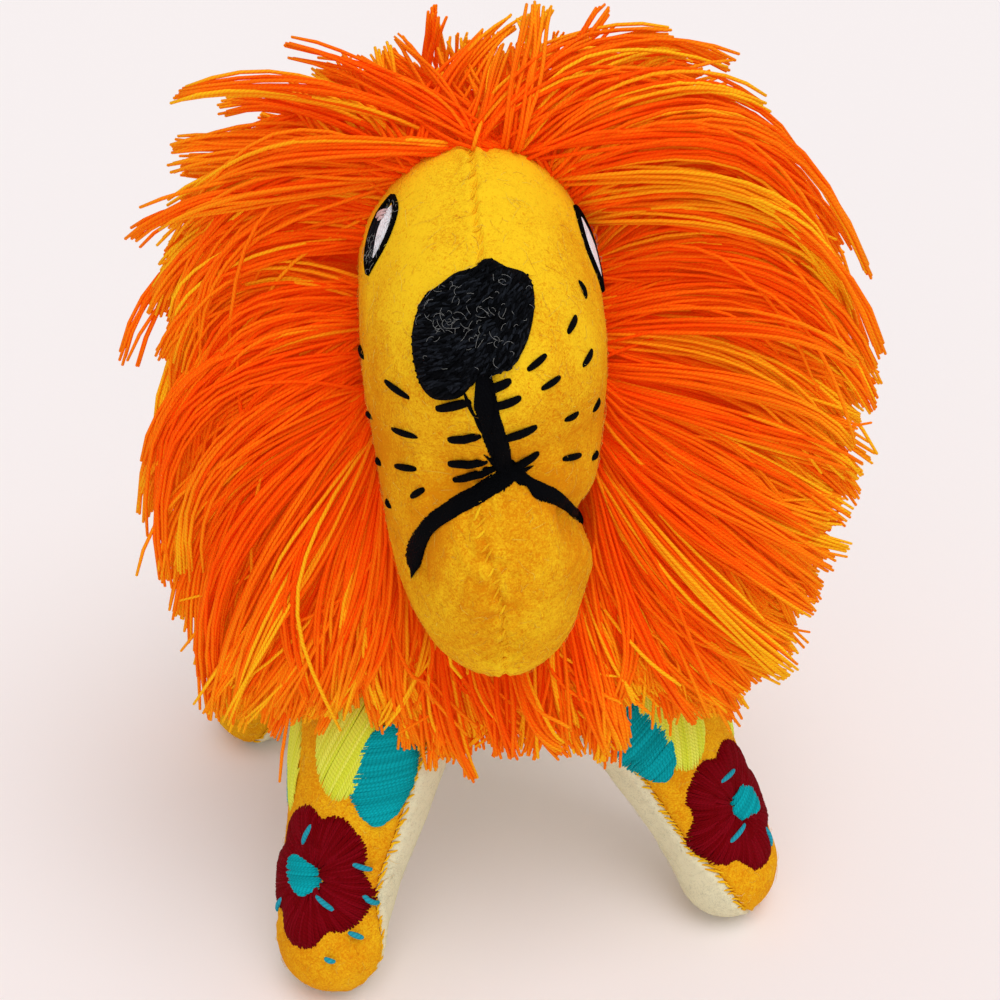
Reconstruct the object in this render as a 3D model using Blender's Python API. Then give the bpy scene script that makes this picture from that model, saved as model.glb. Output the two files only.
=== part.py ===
"""Hand-sewn felt lion: stuffed felt panels on four splayed legs, a yarn mane, embroidered face and legs.

The lion stands on Z = 0 and faces -Y, so its right side is at -X. All sizes are in metres.
Each stuffed form is a loft of rings. Its felt is the space between the form and the same form drawn in
by the felt's thickness, cut along the seams, and its filling is the form drawn in once more.
"""

import math

import bmesh
import bpy
import numpy as np
from mathutils import Matrix, Vector

# Cloth, thread and clearance
FELT = 0.0016
THREAD = 0.0011
GAP = 0.0003
SEAM_GAP = 0.0003
SOLE_CUT = 0.0005
OVERRUN = 0.02
POLE_SHARE = 1e-6
SETTLING_TURNS = 4

# Middle of the floor that the lion covers, from the plane of its back seam and from its chest's datum
MIDDLE_X = -0.00235
MIDDLE_Y = 0.03381

# Head with its neck, turned towards the lion's right about the neck
NECK_PLACE = (0.0016, 0.0300, 0.1700)
HEAD_YAW = math.radians(-11.25)
HEAD_ROLL = math.radians(-2.7)
HEAD_REACH = 0.111
HEAD_HALF_HEIGHT = 0.063
HEAD_WIDTH = 0.0597
HEAD_FULLNESS = 3.6
HEAD_WIDTH_SHARES = ((-1, 0.93), (-0.62, 0.925), (-0.28, 0.915), (0.12, 1.0), (0.6, 1.0), (1, 0.97))
HEAD_CENTRE_SHARES = (0.37, 0.02)
HEAD_OUTLINE_SHARES = (
    (0.46, 1.00), (0.76, 0.84), (0.89, 0.66), (0.955, 0.44), (0.95, 0.24), (0.935, 0.10),
    (1.00, -0.18), (0.995, -0.52), (0.91, -0.85), (0.72, -1.00), (0.45, -0.98), (0.09, -0.89),
    (-0.27, -0.70), (-0.41, -0.35), (-0.31, 0.06), (-0.09, 0.54), (0.17, 0.89),
)
HEAD_COLUMNS = 28
HEAD_ROWS = 6
NOSE_POINTS = 24
MOUTH_POINTS = 17

# Body
CHEST_Y = -0.031
RUMP_Y = 0.116
BODY_Z = 0.114
BODY_HEIGHT = 0.080
BODY_WIDTH = 0.070
BODY_FULLNESS = 2.7
BELLY_SAG = 0.003
GUSSET_ANGLE = math.radians(47)
BODY_COLUMNS = 20
BODY_ROWS = 11

# Legs: spread, place along Y and height of the hip; spread and place along Y of the foot
FRONT_HIPS = {"right": (0.0275, -0.0030, 0.0940), "left": (0.0230, -0.0030, 0.0940)}
FRONT_FOOT = (0.0600, -0.0408)
REAR_HIP = (0.0250, 0.0800, 0.0980)
REAR_FOOT = (0.0650, 0.0740)
FRONT_TURNS = {"right": math.radians(25), "left": math.radians(37)}
REAR_TURN = math.radians(12)
HIP_DEPTH = 0.058
HIP_WIDTH = 0.049
ANKLE_DEPTH = 0.0290
ANKLE_WIDTH = 0.0270
FOOT_DEPTH = 0.0340
FOOT_WIDTH = 0.0285
TOE_REACH = 0.0030
TAPER_POWER = 1.2
FOOT_START_SHARE = 0.72
HIP_CAP_TURNS = (math.radians(90), math.radians(60), math.radians(30))
FOOT_CAP_TURNS = (math.radians(25), math.radians(50), math.radians(72), math.radians(90))
LEG_COLUMNS = 14
LEG_ROWS = 8

# Mane: a ring of yarn sections round the head, set in the head's frame
MANE_RADIUS = 0.0950
MANE_SQUARENESS = 2.4
MANE_LOWER_SHARE = 0.93
MANE_SHIFT = 0.0049
MANE_DROP = 0.0105
MANE_FRONT = 0.0540
MANE_BACK = 0.0150
MANE_CORE = 0.0120
MANE_TIP_TOP = 0.0200
MANE_TIP_BOTTOM = 0.0760
MANE_BULGE = 0.0070
MANE_TIP_THICKNESS = 0.0040
MANE_FACE_SHARES = ((0.00, 0.0), (0.30, 1.0), (0.62, 0.8))
MANE_REAR_SHARES = ((0.66, 0.58, 0.0), (0.30, 0.20, 0.4))
MANE_NECK_SHARE = 0.45
LOCK_DEPTH = 0.0090
LOCK_POWER = 0.8
MANE_SECTIONS = 10
LOCKS_PER_SECTION = 3
STEPS_PER_LOCK = 4

# Tail: the stub on the rump, the collar of thread that it wags in, the stuffed tube and the tuft
TAIL_Z = 0.1340
TAIL_STUB = 0.0050
TAIL_STUB_SINK = 0.0100
TAIL_STUB_SHARES = (0.9, 0.7)
TAIL_COLLAR = 0.0016
TAIL_COLLAR_SHARE = 0.85
TAIL_RADIUS = 0.0062
TAIL_END_RADIUS = 0.0050
TAIL_DROP = 0.0660
TAIL_ROUTE_SHARES = ((0, 0), (0.13, -0.09), (0.23, -0.33), (0.26, -0.68), (0.23, -1.0))
TUFT_LENGTH = 0.0450
TUFT_RADIUS = 0.0130
TUFT_LOCKS = 5
TUFT_RING_SHARES = (0.0, 0.10, 0.25, 0.42, 0.60, 0.78, 0.92)
TUFT_NECK_SHARE = 0.12
TUFT_SPAN_SHARE = 0.93
TUFT_GROOVE_SHARE = 0.16
TAIL_COLUMNS = 10
TAIL_ROWS = 9

# Face embroidery: places across, forward and up, as shares of the head's half width, reach and half height
NOSE_PLACE_SHARES = (-0.070, 0.878, 0.627)
NOSE_PITCH = math.radians(42)
NOSE_WIDTH = 0.0268
NOSE_HEIGHT = 0.0300
NOSE_THREAD = 0.0022
NOSE_OUTLINE_SHARES = (
    (0.18, 1.00), (0.30, 0.83), (0.44, 0.77), (0.50, 0.55), (0.49, 0.20), (0.42, -0.28), (0.28, -0.60),
    (0.10, -0.74), (-0.10, -0.92), (-0.28, -1.00), (-0.42, -0.86), (-0.50, -0.38), (-0.48, 0.18),
    (-0.38, 0.53), (-0.22, 0.68), (-0.06, 0.83),
)
PHILTRUM_TOP_SHARES = (-0.050, 0.452)
PHILTRUM_WIDTH = 0.0046
MOUTH_WIDTH = 0.0038
MOUTH_CENTRE_SHARES = (0.104, 0.098)
MOUTH_ROUTE_SHARES = (
    (-0.65, -0.37), (-0.63, -0.26), (-0.50, -0.09), (-0.28, 0.02), (0.104, 0.098), (0.36, 0.02),
    (0.51, -0.05), (0.62, -0.14),
)
EYE_PLACE_SHARES = {"right": (0.552, 0.722), "left": (0.487, 0.580)}
EYE_TILT = {"right": math.radians(36), "left": math.radians(20)}
EYE_HEIGHT = 0.0220
EYE_WIDTH = 0.0135
EYE_RIM = 0.0020
PUPIL_WIDTH = 0.0060

# Leg embroidery: outlines and where they lie on the outer panel
FLOWER_WIDTH = 0.0325
FLOWER_HEIGHT = 0.0400
FLOWER_HEART = 0.0062
FLOWER_PETALS = 5
PETAL_DEPTH_SHARE = 0.17
LEAF_SIZES = {
    "teal_leaf": (0.0300, 0.0185),
    "lime_leaf": (0.0300, 0.0145),
    "outer_lime_leaf": (0.0320, 0.0110),
    "outer_teal_leaf": (0.0280, 0.0150),
}
LEAF_FULLNESS = 0.62
FLOWER_PLACE_SHARE = 0.81
FLOWER_TURN = math.radians(27)
HEART_PLACE_SHARE = 0.82
HEART_TURN = math.radians(12)
LEAF_PLACES_SHARES = {"teal_leaf": 0.455, "lime_leaf": 0.40, "outer_lime_leaf": 0.50, "outer_teal_leaf": 0.53}
LEAF_TURNS = {
    "teal_leaf": math.radians(67),
    "lime_leaf": math.radians(32),
    "outer_lime_leaf": math.radians(-27),
    "outer_teal_leaf": math.radians(-56),
}

GOLD = (0.90, 0.47, 0.035)
CREAM = (0.70, 0.60, 0.42)
WOOL = (0.85, 0.82, 0.75)
ORANGE = (0.82, 0.085, 0.004)
BLACK = (0.008, 0.009, 0.010)
WHITE = (0.86, 0.86, 0.88)
CRIMSON = (0.17, 0.003, 0.010)
TEAL = (0.006, 0.27, 0.32)
LIME = (0.68, 0.75, 0.09)

SIDES = {"right": -1, "left": 1}


def clear_scene():
    for obj in list(bpy.data.objects):
        bpy.data.objects.remove(obj, do_unlink=True)


def material(name, colour, roughness):
    """The one material of this name, made when it is first asked for."""
    found = bpy.data.materials.get(name)
    if found:
        return found
    made = bpy.data.materials.new(name)
    made.use_nodes = True
    shader = made.node_tree.nodes["Principled BSDF"]
    shader.inputs["Base Color"].default_value = (*colour, 1)
    shader.inputs["Roughness"].default_value = roughness
    shader.inputs["Metallic"].default_value = 0
    made.diffuse_color = (*colour, 1)
    return made


def gold_felt():
    return material("gold_felt", GOLD, 0.95)


def cream_felt():
    return material("cream_felt", CREAM, 0.95)


def filling():
    return material("filling", WOOL, 1.0)


def mane_yarn():
    return material("mane_yarn", ORANGE, 0.8)


def thread(name, colour):
    return material(name + "_thread", colour, 0.7)


def new_empty(name, place, parent=None, turn=(0, 0, 0)):
    empty = bpy.data.objects.new(name, None)
    bpy.context.scene.collection.objects.link(empty)
    empty.parent = parent
    empty.location = place
    empty.rotation_euler = turn
    return empty


def new_object(name, mesh, parent=None, cloth=None):
    """An object on its parent, or else on the lion's own empty; with no cloth it is a hidden cutter."""
    obj = bpy.data.objects.new(name, mesh)
    bpy.context.scene.collection.objects.link(obj)
    obj.parent = parent or bpy.data.objects["lion"]
    if cloth:
        mesh.materials.clear()
        mesh.materials.append(cloth)
        mesh.shade_smooth()
        mesh.set_sharp_from_angle(angle=math.radians(50))
    else:
        obj.hide_render = True
        obj.display_type = "WIRE"
    return obj


def ring_mesh(name, rings, offset=0.0):
    """A closed mesh through rings of points; a ring of one point is a pole, an end ring of more is capped.

    The offset moves every vertex along its normal, outwards when positive.
    """
    shape = bmesh.new()
    made = [[shape.verts.new(point) for point in ring] for ring in rings]
    for low, high in zip(made, made[1:]):
        count = max(len(low), len(high))
        for i in range(count):
            j = (i + 1) % count
            corners = [low[i % len(low)], low[j % len(low)], high[j % len(high)], high[i % len(high)]]
            unique = list(dict.fromkeys(corners))
            shape.faces.new(unique)
    for end in (made[0], made[-1]):
        if len(end) > 1:
            shape.faces.new(end)
    bmesh.ops.recalc_face_normals(shape, faces=shape.faces)
    shape.normal_update()
    if shape.calc_volume(signed=True) < 0:
        bmesh.ops.reverse_faces(shape, faces=shape.faces)
        shape.normal_update()
    moves = [vertex.normal * offset for vertex in shape.verts]
    for vertex, move in zip(shape.verts, moves):
        vertex.co += move
    mesh = bpy.data.meshes.new(name)
    shape.to_mesh(mesh)
    shape.free()
    return mesh


def smooth_loop(points, count):
    """Points spaced evenly along the closed Catmull-Rom curve through the given points."""
    points = np.asarray(points, float)
    steps = np.linspace(0, 1, 16, endpoint=False)[:, None]
    pieces = []
    for i in range(len(points)):
        a, b, c, d = (points[(i + k) % len(points)] for k in (-1, 0, 1, 2))
        pieces.append(
            0.5 * (2 * b + (c - a) * steps + (2 * a - 5 * b + 4 * c - d) * steps**2
                   + (3 * b - a - 3 * c + d) * steps**3)
        )
    curve = np.vstack(pieces)
    closed = np.vstack([curve, curve[:1]])
    run = np.concatenate([[0], np.cumsum(np.linalg.norm(np.diff(closed, axis=0), axis=1))])
    wanted = np.linspace(0, run[-1], count, endpoint=False)
    return np.column_stack([np.interp(wanted, run, closed[:, k]) for k in range(closed.shape[1])])


def smooth_route(points, count):
    """Points spaced evenly along the open Catmull-Rom curve through the given points."""
    points = np.asarray(points, float)
    ends = np.vstack([2 * points[0] - points[1], points, 2 * points[-1] - points[-2]])
    steps = np.linspace(0, 1, 12, endpoint=False)[:, None]
    pieces = []
    for a, b, c, d in zip(ends, ends[1:], ends[2:], ends[3:]):
        pieces.append(
            0.5 * (2 * b + (c - a) * steps + (2 * a - 5 * b + 4 * c - d) * steps**2
                   + (3 * b - a - 3 * c + d) * steps**3)
        )
    curve = np.vstack(pieces + [points[-1:]])
    run = np.concatenate([[0], np.cumsum(np.linalg.norm(np.diff(curve, axis=0), axis=1))])
    wanted = np.linspace(0, run[-1], count)
    return np.column_stack([np.interp(wanted, run, curve[:, k]) for k in range(curve.shape[1])])


class Form:
    """A stuffed form: its rings, and the hidden copies of it at each offset that cuts other pieces."""

    def __init__(self, name, rings, parent=None):
        self.name = name
        self.rings = rings
        self.parent = parent
        self.copies = {}

    def mesh(self, name, offset):
        return ring_mesh(name, self.rings, offset)

    def cutter(self, offset):
        if offset not in self.copies:
            name = f"cut_{self.name}_{len(self.copies)}"
            self.copies[offset] = new_object(name, self.mesh(name, offset), self.parent)
        return self.copies[offset]

    def piece(self, name, offset, cloth):
        return new_object(name, self.mesh(name, offset), self.parent, cloth)


def boolean(obj, other, operation, solver="EXACT"):
    modifier = obj.modifiers.new(f"{operation.lower()} {other.name}", "BOOLEAN")
    modifier.operation = operation
    modifier.solver = solver
    modifier.object = other


def cut(obj, *others, solver="EXACT"):
    for other in others:
        boolean(obj, other, "DIFFERENCE", solver)
    return obj


def keep(obj, other):
    boolean(obj, other, "INTERSECT")
    return obj


def prism(name, outline, matrix, near, far, parent=None):
    """A hidden prism over an outline in the matrix's XY plane, from near to far along its Z."""
    rings = [[matrix @ Vector((x, y, z)) for x, y in outline] for z in (near, far)]
    return new_object(name, ring_mesh(name, rings), parent)


def half_space(name, point, outward, size, parent=None):
    """A hidden box that fills the side of the plane that the outward direction points to."""
    matrix = Matrix.Translation(point) @ Vector(outward).to_track_quat("Z", "Y").to_matrix().to_4x4()
    square = [(-size, -size), (size, -size), (size, size), (-size, size)]
    return prism(name, square, matrix, 0, size, parent)


def facing(place, direction, up):
    """A frame at a place whose Z looks along the direction and whose Y is as near to up as it can be."""
    ahead = Vector(direction).normalized()
    across = Vector(up).cross(ahead).normalized()
    above = ahead.cross(across)
    frame = Matrix((across, above, ahead)).transposed().to_4x4()
    return Matrix.Translation(place) @ frame


def stitched(name, form, matrix, outline, cloth, reach, raised=THREAD):
    """A pad of satin stitch: the layer over a form's surface, inside an outline seen along the matrix's Z."""
    mask = prism(f"outline_{name}", outline, matrix, -reach, reach, form.parent)
    pad = form.piece(name, GAP + raised, cloth)
    keep(pad, mask)
    return cut(pad, form.cutter(GAP))


def band(points, width):
    """The outline of a band of even width along an open row of points."""
    points = np.asarray(points, float)
    along = np.gradient(points, axis=0)
    along /= np.linalg.norm(along, axis=1)[:, None]
    across = np.column_stack([-along[:, 1], along[:, 0]]) * width / 2
    return np.vstack([points + across, (points - across)[::-1]])


# Head

def head_form(pose):
    """Rings of the side outline drawn in towards its centre while the width swells as in a pillow."""
    size = np.array([HEAD_REACH, HEAD_HALF_HEIGHT])
    outline = smooth_loop(np.array(HEAD_OUTLINE_SHARES) * size, HEAD_COLUMNS)
    centre = np.array(HEAD_CENTRE_SHARES) * size
    turns = np.linspace(0, math.pi, 2 * HEAD_ROWS + 1)
    rings = []
    for turn in turns:
        share = math.sin(turn)
        side = 1 if turn < math.pi / 2 else -1
        swell = side * math.sqrt(max(0.0, 1 - share**HEAD_FULLNESS)) * HEAD_WIDTH / 2
        ring = centre + share * (outline - centre)
        if share < POLE_SHARE:
            ring = ring[:1]
        widths = np.interp(ring[:, 1] / HEAD_HALF_HEIGHT, *zip(*HEAD_WIDTH_SHARES))
        rings.append([Vector((swell * k, -y, z)) for k, (y, z) in zip(widths, ring)])
    return Form("head", rings, pose)


def head_panels(head):
    for name, side in SIDES.items():
        other = half_space(f"head_split_{name}", (side * SEAM_GAP / 2, 0, 0), (-side, 0, 0),
                           2 * HEAD_REACH, head.parent)
        felt = head.piece(f"head_felt_{name}", 0, gold_felt())
        cut(felt, head.cutter(-FELT), other)
    head.piece("head_filling", -FELT - GAP, filling())


def face(head):
    """The nose on the muzzle's slope, the philtrum below it and the mouth, which falls to both sides."""
    across, ahead, up = np.array(NOSE_PLACE_SHARES) * (HEAD_WIDTH / 2, HEAD_REACH, HEAD_HALF_HEIGHT)
    nose = smooth_loop(np.array(NOSE_OUTLINE_SHARES) * (NOSE_WIDTH, NOSE_HEIGHT / 2), NOSE_POINTS)
    frame = facing((across, -ahead, up), (0, -math.cos(NOSE_PITCH), math.sin(NOSE_PITCH)), (0, 0, 1))
    stitched("nose", head, frame, nose, thread("black", BLACK), OVERRUN, NOSE_THREAD)
    near = facing((0, -HEAD_REACH, 0), (0, -1, 0), (0, 0, 1))
    size = np.array([HEAD_WIDTH / 2, HEAD_HALF_HEIGHT])
    foot = np.array(MOUTH_CENTRE_SHARES) * size + (0, MOUTH_WIDTH / 2 + GAP)
    philtrum = band([np.array(PHILTRUM_TOP_SHARES) * size, foot], PHILTRUM_WIDTH)
    strip = stitched("philtrum", head, near, philtrum, thread("black", BLACK), HEAD_REACH / 2)
    cut(strip, nose_clearance(nose, frame, head))
    arc = smooth_route(np.array(MOUTH_ROUTE_SHARES) * size, MOUTH_POINTS)
    stitched("mouth", head, near, band(arc, MOUTH_WIDTH), thread("black", BLACK), HEAD_REACH / 2)


def nose_clearance(nose, frame, head):
    grown = nose * (1 + 2 * GAP / NOSE_WIDTH)
    return prism("nose_clearance", grown, frame, -OVERRUN, OVERRUN, head.parent)


def almond(height, width, fullness=1):
    """A pointed oval: two arcs that meet at its ends, rounder the smaller the fullness."""
    steps = np.linspace(-1, 1, 9)
    bulge = width / 2 * (1 - steps**2) ** fullness
    right = np.column_stack([bulge, steps * height / 2])
    left = np.column_stack([-bulge, steps * height / 2])[::-1]
    return np.vstack([right, left[1:-1]])


def eyes(head):
    """On each side a black almond rim, a white crescent in it and the pupil towards the mane.

    Returns the hidden room that the mane leaves round each eye.
    """
    rooms = []
    for name, side in SIDES.items():
        ahead, up = np.array(EYE_PLACE_SHARES[name]) * (HEAD_REACH, HEAD_HALF_HEIGHT)
        frame = facing((side * HEAD_WIDTH / 2, -ahead, up), (side, 0, 0), (0, 0, 1))
        frame = frame @ Matrix.Rotation(-side * EYE_TILT[name], 4, "Z")
        rim_outline = almond(EYE_HEIGHT, EYE_WIDTH)
        hole = almond(EYE_HEIGHT - 2 * EYE_RIM, EYE_WIDTH - 2 * EYE_RIM)
        inner = almond(EYE_HEIGHT - 2 * EYE_RIM - 2 * GAP, EYE_WIDTH - 2 * EYE_RIM - 2 * GAP)
        reach = HEAD_WIDTH / 2
        rim = stitched(f"eye_rim_{name}", head, frame, rim_outline, thread("black", BLACK), reach)
        cut(rim, prism(f"eye_hole_{name}", hole, frame, -reach, reach, head.parent))
        behind = (frame.to_3x3() @ Vector((side, 0, 0))).normalized()
        split = frame.translation + behind * (EYE_WIDTH / 2 - EYE_RIM - PUPIL_WIDTH)
        white = stitched(f"eye_white_{name}", head, frame, inner, thread("white", WHITE), reach)
        pupil = stitched(f"eye_pupil_{name}", head, frame, inner, thread("black", BLACK), reach)
        cut(white, half_space(f"eye_split_{name}_a", split - behind * GAP / 2, behind, reach, head.parent))
        cut(pupil, half_space(f"eye_split_{name}_b", split + behind * GAP / 2, -behind, reach, head.parent))
        room = new_object(f"eye_room_{name}", head.mesh(f"eye_room_{name}", 2 * GAP + THREAD), head.parent)
        around = almond(EYE_HEIGHT + 3 * GAP, EYE_WIDTH + 3 * GAP)
        edge = prism(f"eye_room_outline_{name}", around, frame, -reach, reach, head.parent)
        rooms.append(keep(room, edge))
    return rooms


# Body

def body_form():
    """Oval sections along Y that swell and taper between the chest and the rump."""
    middle, half = (CHEST_Y + RUMP_Y) / 2, (RUMP_Y - CHEST_Y) / 2
    rings = []
    for turn in np.linspace(0, math.pi, BODY_ROWS + 1):
        along = -math.cos(turn)
        size = math.sqrt(max(0.0, 1 - abs(along) ** BODY_FULLNESS))
        height = BODY_Z - BELLY_SAG * (1 - along**2)
        if size < POLE_SHARE:
            rings.append([Vector((0, middle + half * along, height))])
            continue
        angles = np.arange(BODY_COLUMNS) / BODY_COLUMNS * 2 * math.pi
        rings.append([
            Vector((BODY_WIDTH / 2 * size * math.cos(a), middle + half * along,
                    height + BODY_HEIGHT / 2 * size * math.sin(a)))
            for a in angles
        ])
    return Form("body", rings)


def gusset_wedge(name, clearance):
    """The hidden wedge under the body's axis that the belly piece fills, grown by a clearance."""
    rise = clearance / math.cos(GUSSET_ANGLE)
    reach = (BODY_HEIGHT + rise) / math.tan(GUSSET_ANGLE)
    outline = [(-reach, -BODY_HEIGHT), (reach, -BODY_HEIGHT), (0, rise)]
    matrix = facing((0, CHEST_Y - OVERRUN, BODY_Z), (0, 1, 0), (0, 0, 1))
    return prism(name, outline, matrix, 0, RUMP_Y - CHEST_Y + 2 * OVERRUN)


def body_panels(body, head):
    behind_neck = head.cutter(GAP)
    for name, side in SIDES.items():
        seam = (side * SEAM_GAP / 2, BODY_HEIGHT / 2, BODY_Z)
        other = half_space(f"body_split_{name}", seam, (-side, 0, 0), RUMP_Y - CHEST_Y)
        felt = body.piece(f"body_felt_{name}", 0, gold_felt())
        cut(felt, body.cutter(-FELT), other, gusset_wedge(f"gusset_clear_{name}", SEAM_GAP), behind_neck)
    belly = body.piece("belly_felt", 0, cream_felt())
    keep(cut(belly, body.cutter(-FELT)), gusset_wedge("gusset_keep", 0))
    cut(belly, behind_neck)
    cut(body.piece("body_filling", -FELT - GAP, filling()), behind_neck)


# Legs

class Leg:
    """One stuffed leg from inside the body down to its foot, its outer panel turned towards the front."""

    def __init__(self, place, side, hip, foot, turn):
        self.name = f"{place}_{side}"
        spread = SIDES[side]
        self.hip = Vector((spread * hip[0], hip[1], hip[2]))
        self.foot = Vector((spread * foot[0], foot[1], FOOT_DEPTH / 2))
        self.panel = Vector((spread * math.cos(turn), -math.sin(turn), 0))
        for _ in range(SETTLING_TURNS):
            self.aim()
            rings = self.rings()
            self.foot.z -= SOLE_CUT + min(point.z for ring in rings for point in ring)
        self.aim()
        self.form = Form(self.name + "_leg", self.rings())

    def aim(self):
        """Sets the directions down the leg, out of its outer panel and towards the toe."""
        self.length = (self.foot - self.hip).length
        self.down = (self.foot - self.hip).normalized()
        self.outward = (self.panel - self.down * self.panel.dot(self.down)).normalized()
        toe = self.outward.cross(self.down)
        self.toe = toe if toe.y < 0 else -toe

    def section(self, share):
        """Half depth towards the toe, half width and shift towards the toe at a share of the way down."""
        taper = share**TAPER_POWER
        swell = max(0.0, (share - FOOT_START_SHARE) / (1 - FOOT_START_SHARE)) ** 2
        depth = HIP_DEPTH + (ANKLE_DEPTH - HIP_DEPTH) * taper + (FOOT_DEPTH - ANKLE_DEPTH) * swell
        width = HIP_WIDTH + (ANKLE_WIDTH - HIP_WIDTH) * taper + (FOOT_WIDTH - ANKLE_WIDTH) * swell
        return depth / 2, width / 2, TOE_REACH * swell

    def ring(self, along, share, size):
        """A ring at a distance from the hip with the section of a share of the way, drawn in to a size."""
        depth, width, shift = self.section(share)
        centre = self.hip + self.down * along + self.toe * shift
        if size < POLE_SHARE:
            return [centre]
        angles = np.arange(LEG_COLUMNS) / LEG_COLUMNS * 2 * math.pi
        return [
            centre + self.outward * (width * size * math.cos(a)) + self.toe * (depth * size * math.sin(a))
            for a in angles
        ]

    def rings(self):
        """A round end above the hip, the tapering shaft and the round foot."""
        end = (FOOT_DEPTH + FOOT_WIDTH) / 4
        hip = [self.ring(-HIP_WIDTH / 2 * math.sin(t), 0, math.cos(t)) for t in HIP_CAP_TURNS]
        shaft = [self.ring(share * self.length, share, 1) for share in np.linspace(0, 1, LEG_ROWS)]
        foot = [self.ring(self.length + end * math.sin(t), 1, math.cos(t)) for t in FOOT_CAP_TURNS]
        return hip + shaft + foot

    def patch_frame(self, share, turn):
        """A frame on the axis at a share of the way down, looking out of the panel and turned to the toe."""
        direction = self.outward * math.cos(turn) + self.toe * math.sin(turn)
        return facing(self.hip.lerp(self.foot, share), direction, -self.down)


def leg_panels(leg, floor, larger):
    middle = leg.hip.lerp(leg.foot, 0.5)
    reach = leg.length + HIP_DEPTH
    inside = half_space(f"{leg.name}_inside", middle + leg.outward * SEAM_GAP / 2, -leg.outward, reach)
    outside = half_space(f"{leg.name}_outside", middle - leg.outward * SEAM_GAP / 2, leg.outward, reach)
    outer = leg.form.piece(f"{leg.name}_leg_outer_felt", 0, gold_felt())
    inner = leg.form.piece(f"{leg.name}_leg_inner_felt", 0, cream_felt())
    stuffing = leg.form.piece(f"{leg.name}_leg_filling", -FELT - GAP, filling())
    cut(outer, leg.form.cutter(-FELT), inside, *larger, floor)
    cut(inner, leg.form.cutter(-FELT), outside, *larger, floor)
    cut(stuffing, *larger)


def flower_outline(width, height, petals, depth_share):
    """An oval flower whose rim dips between its petals."""
    angles = np.linspace(0, 2 * math.pi, 6 * petals, endpoint=False)
    dip = 1 - depth_share * (0.5 + 0.5 * np.cos(petals * angles)) ** 3
    return np.column_stack([width / 2 * dip * np.sin(angles), height / 2 * dip * np.cos(angles)])


def round_outline(radius, count=12):
    angles = np.linspace(0, 2 * math.pi, count, endpoint=False)
    return np.column_stack([radius * np.cos(angles), radius * np.sin(angles)])


def leg_embroidery(leg, larger):
    """A flower round its heart and four leaves above it, each cut short by those sewn before it."""
    reach = FOOT_DEPTH
    lift = Matrix.Translation((0, 0, reach))
    frame = leg.patch_frame(FLOWER_PLACE_SHARE, FLOWER_TURN) @ lift
    heart_frame = leg.patch_frame(HEART_PLACE_SHARE, HEART_TURN) @ lift
    flower = stitched(f"{leg.name}_flower", leg.form, frame,
                      flower_outline(FLOWER_WIDTH, FLOWER_HEIGHT, FLOWER_PETALS, PETAL_DEPTH_SHARE),
                      thread("crimson", CRIMSON), reach)
    hole = prism(f"{leg.name}_flower_hole", round_outline(FLOWER_HEART + GAP), heart_frame, -reach, reach)
    cut(flower, hole)
    stitched(f"{leg.name}_flower_heart", leg.form, heart_frame, round_outline(FLOWER_HEART),
             thread("teal", TEAL), reach)
    grown = flower_outline(FLOWER_WIDTH + 3 * GAP, FLOWER_HEIGHT + 3 * GAP, FLOWER_PETALS, PETAL_DEPTH_SHARE)
    taken = [prism(f"{leg.name}_flower_room", grown, frame, -reach, reach)]
    for name, share in LEAF_PLACES_SHARES.items():
        height, width = LEAF_SIZES[name]
        colour = ("teal", TEAL) if "teal" in name else ("lime", LIME)
        frame = leg.patch_frame(share, LEAF_TURNS[name]) @ Matrix.Translation((0, 0, HIP_DEPTH))
        leaf = stitched(f"{leg.name}_{name}", leg.form, frame, almond(height, width, LEAF_FULLNESS),
                        thread(*colour), HIP_DEPTH)
        cut(leaf, *taken, *larger)
        around = almond(height + 3 * GAP, width + 3 * GAP, LEAF_FULLNESS)
        taken.append(prism(f"{leg.name}_{name}_room", around, frame, -HIP_DEPTH, HIP_DEPTH))


# Mane

def mane_radius(angle):
    """The radius of the mane's tips at an angle: a rounded square, drawn in below and between its locks."""
    square = (abs(math.cos(angle)) ** MANE_SQUARENESS + abs(math.sin(angle)) ** MANE_SQUARENESS)
    lower = 1 - (1 - MANE_LOWER_SHARE) * (1 - math.sin(angle)) / 2
    locks = MANE_SECTIONS * LOCKS_PER_SECTION
    phase = (angle * locks / (2 * math.pi)) % 1
    dip = LOCK_DEPTH * abs(2 * phase - 1) ** LOCK_POWER
    return MANE_RADIUS * lower * square ** (-1 / MANE_SQUARENESS) - dip


def root_radius(angle):
    """How far from the mane's axis the head's surface lies at an angle, where the yarn is sewn on."""
    up = HEAD_HALF_HEIGHT + (MANE_DROP if math.sin(angle) > 0 else -MANE_DROP)
    return 1 / math.hypot(math.cos(angle) / (HEAD_WIDTH / 2), math.sin(angle) / up)


def mane_section_ring(angle):
    """The closed section of the mane at an angle about the head: front face, tip, back face, core."""
    radius, root = mane_radius(angle), root_radius(angle)
    low = (1 - math.sin(angle)) / 2
    tip = MANE_TIP_TOP + (MANE_TIP_BOTTOM - MANE_TIP_TOP) * low
    half_tip = MANE_TIP_THICKNESS / 2
    full = MANE_RADIUS - root
    profile = [(MANE_CORE, MANE_FRONT)]
    for share, bulge in MANE_FACE_SHARES:
        profile.append((root + share * full, MANE_FRONT + share * (tip - MANE_FRONT) + bulge * MANE_BULGE))
    profile += [(radius, tip + half_tip), (radius, tip - half_tip)]
    for share, ahead, behind in MANE_REAR_SHARES:
        profile.append((root + share * full, ahead * tip - behind * MANE_BACK))
    profile += [(MANE_CORE + MANE_NECK_SHARE * root, -MANE_BACK), (MANE_CORE, -MANE_BACK)]
    return [
        Vector((MANE_SHIFT + r * math.cos(angle), -forward, -MANE_DROP + r * math.sin(angle)))
        for r, forward in profile
    ]


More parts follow.
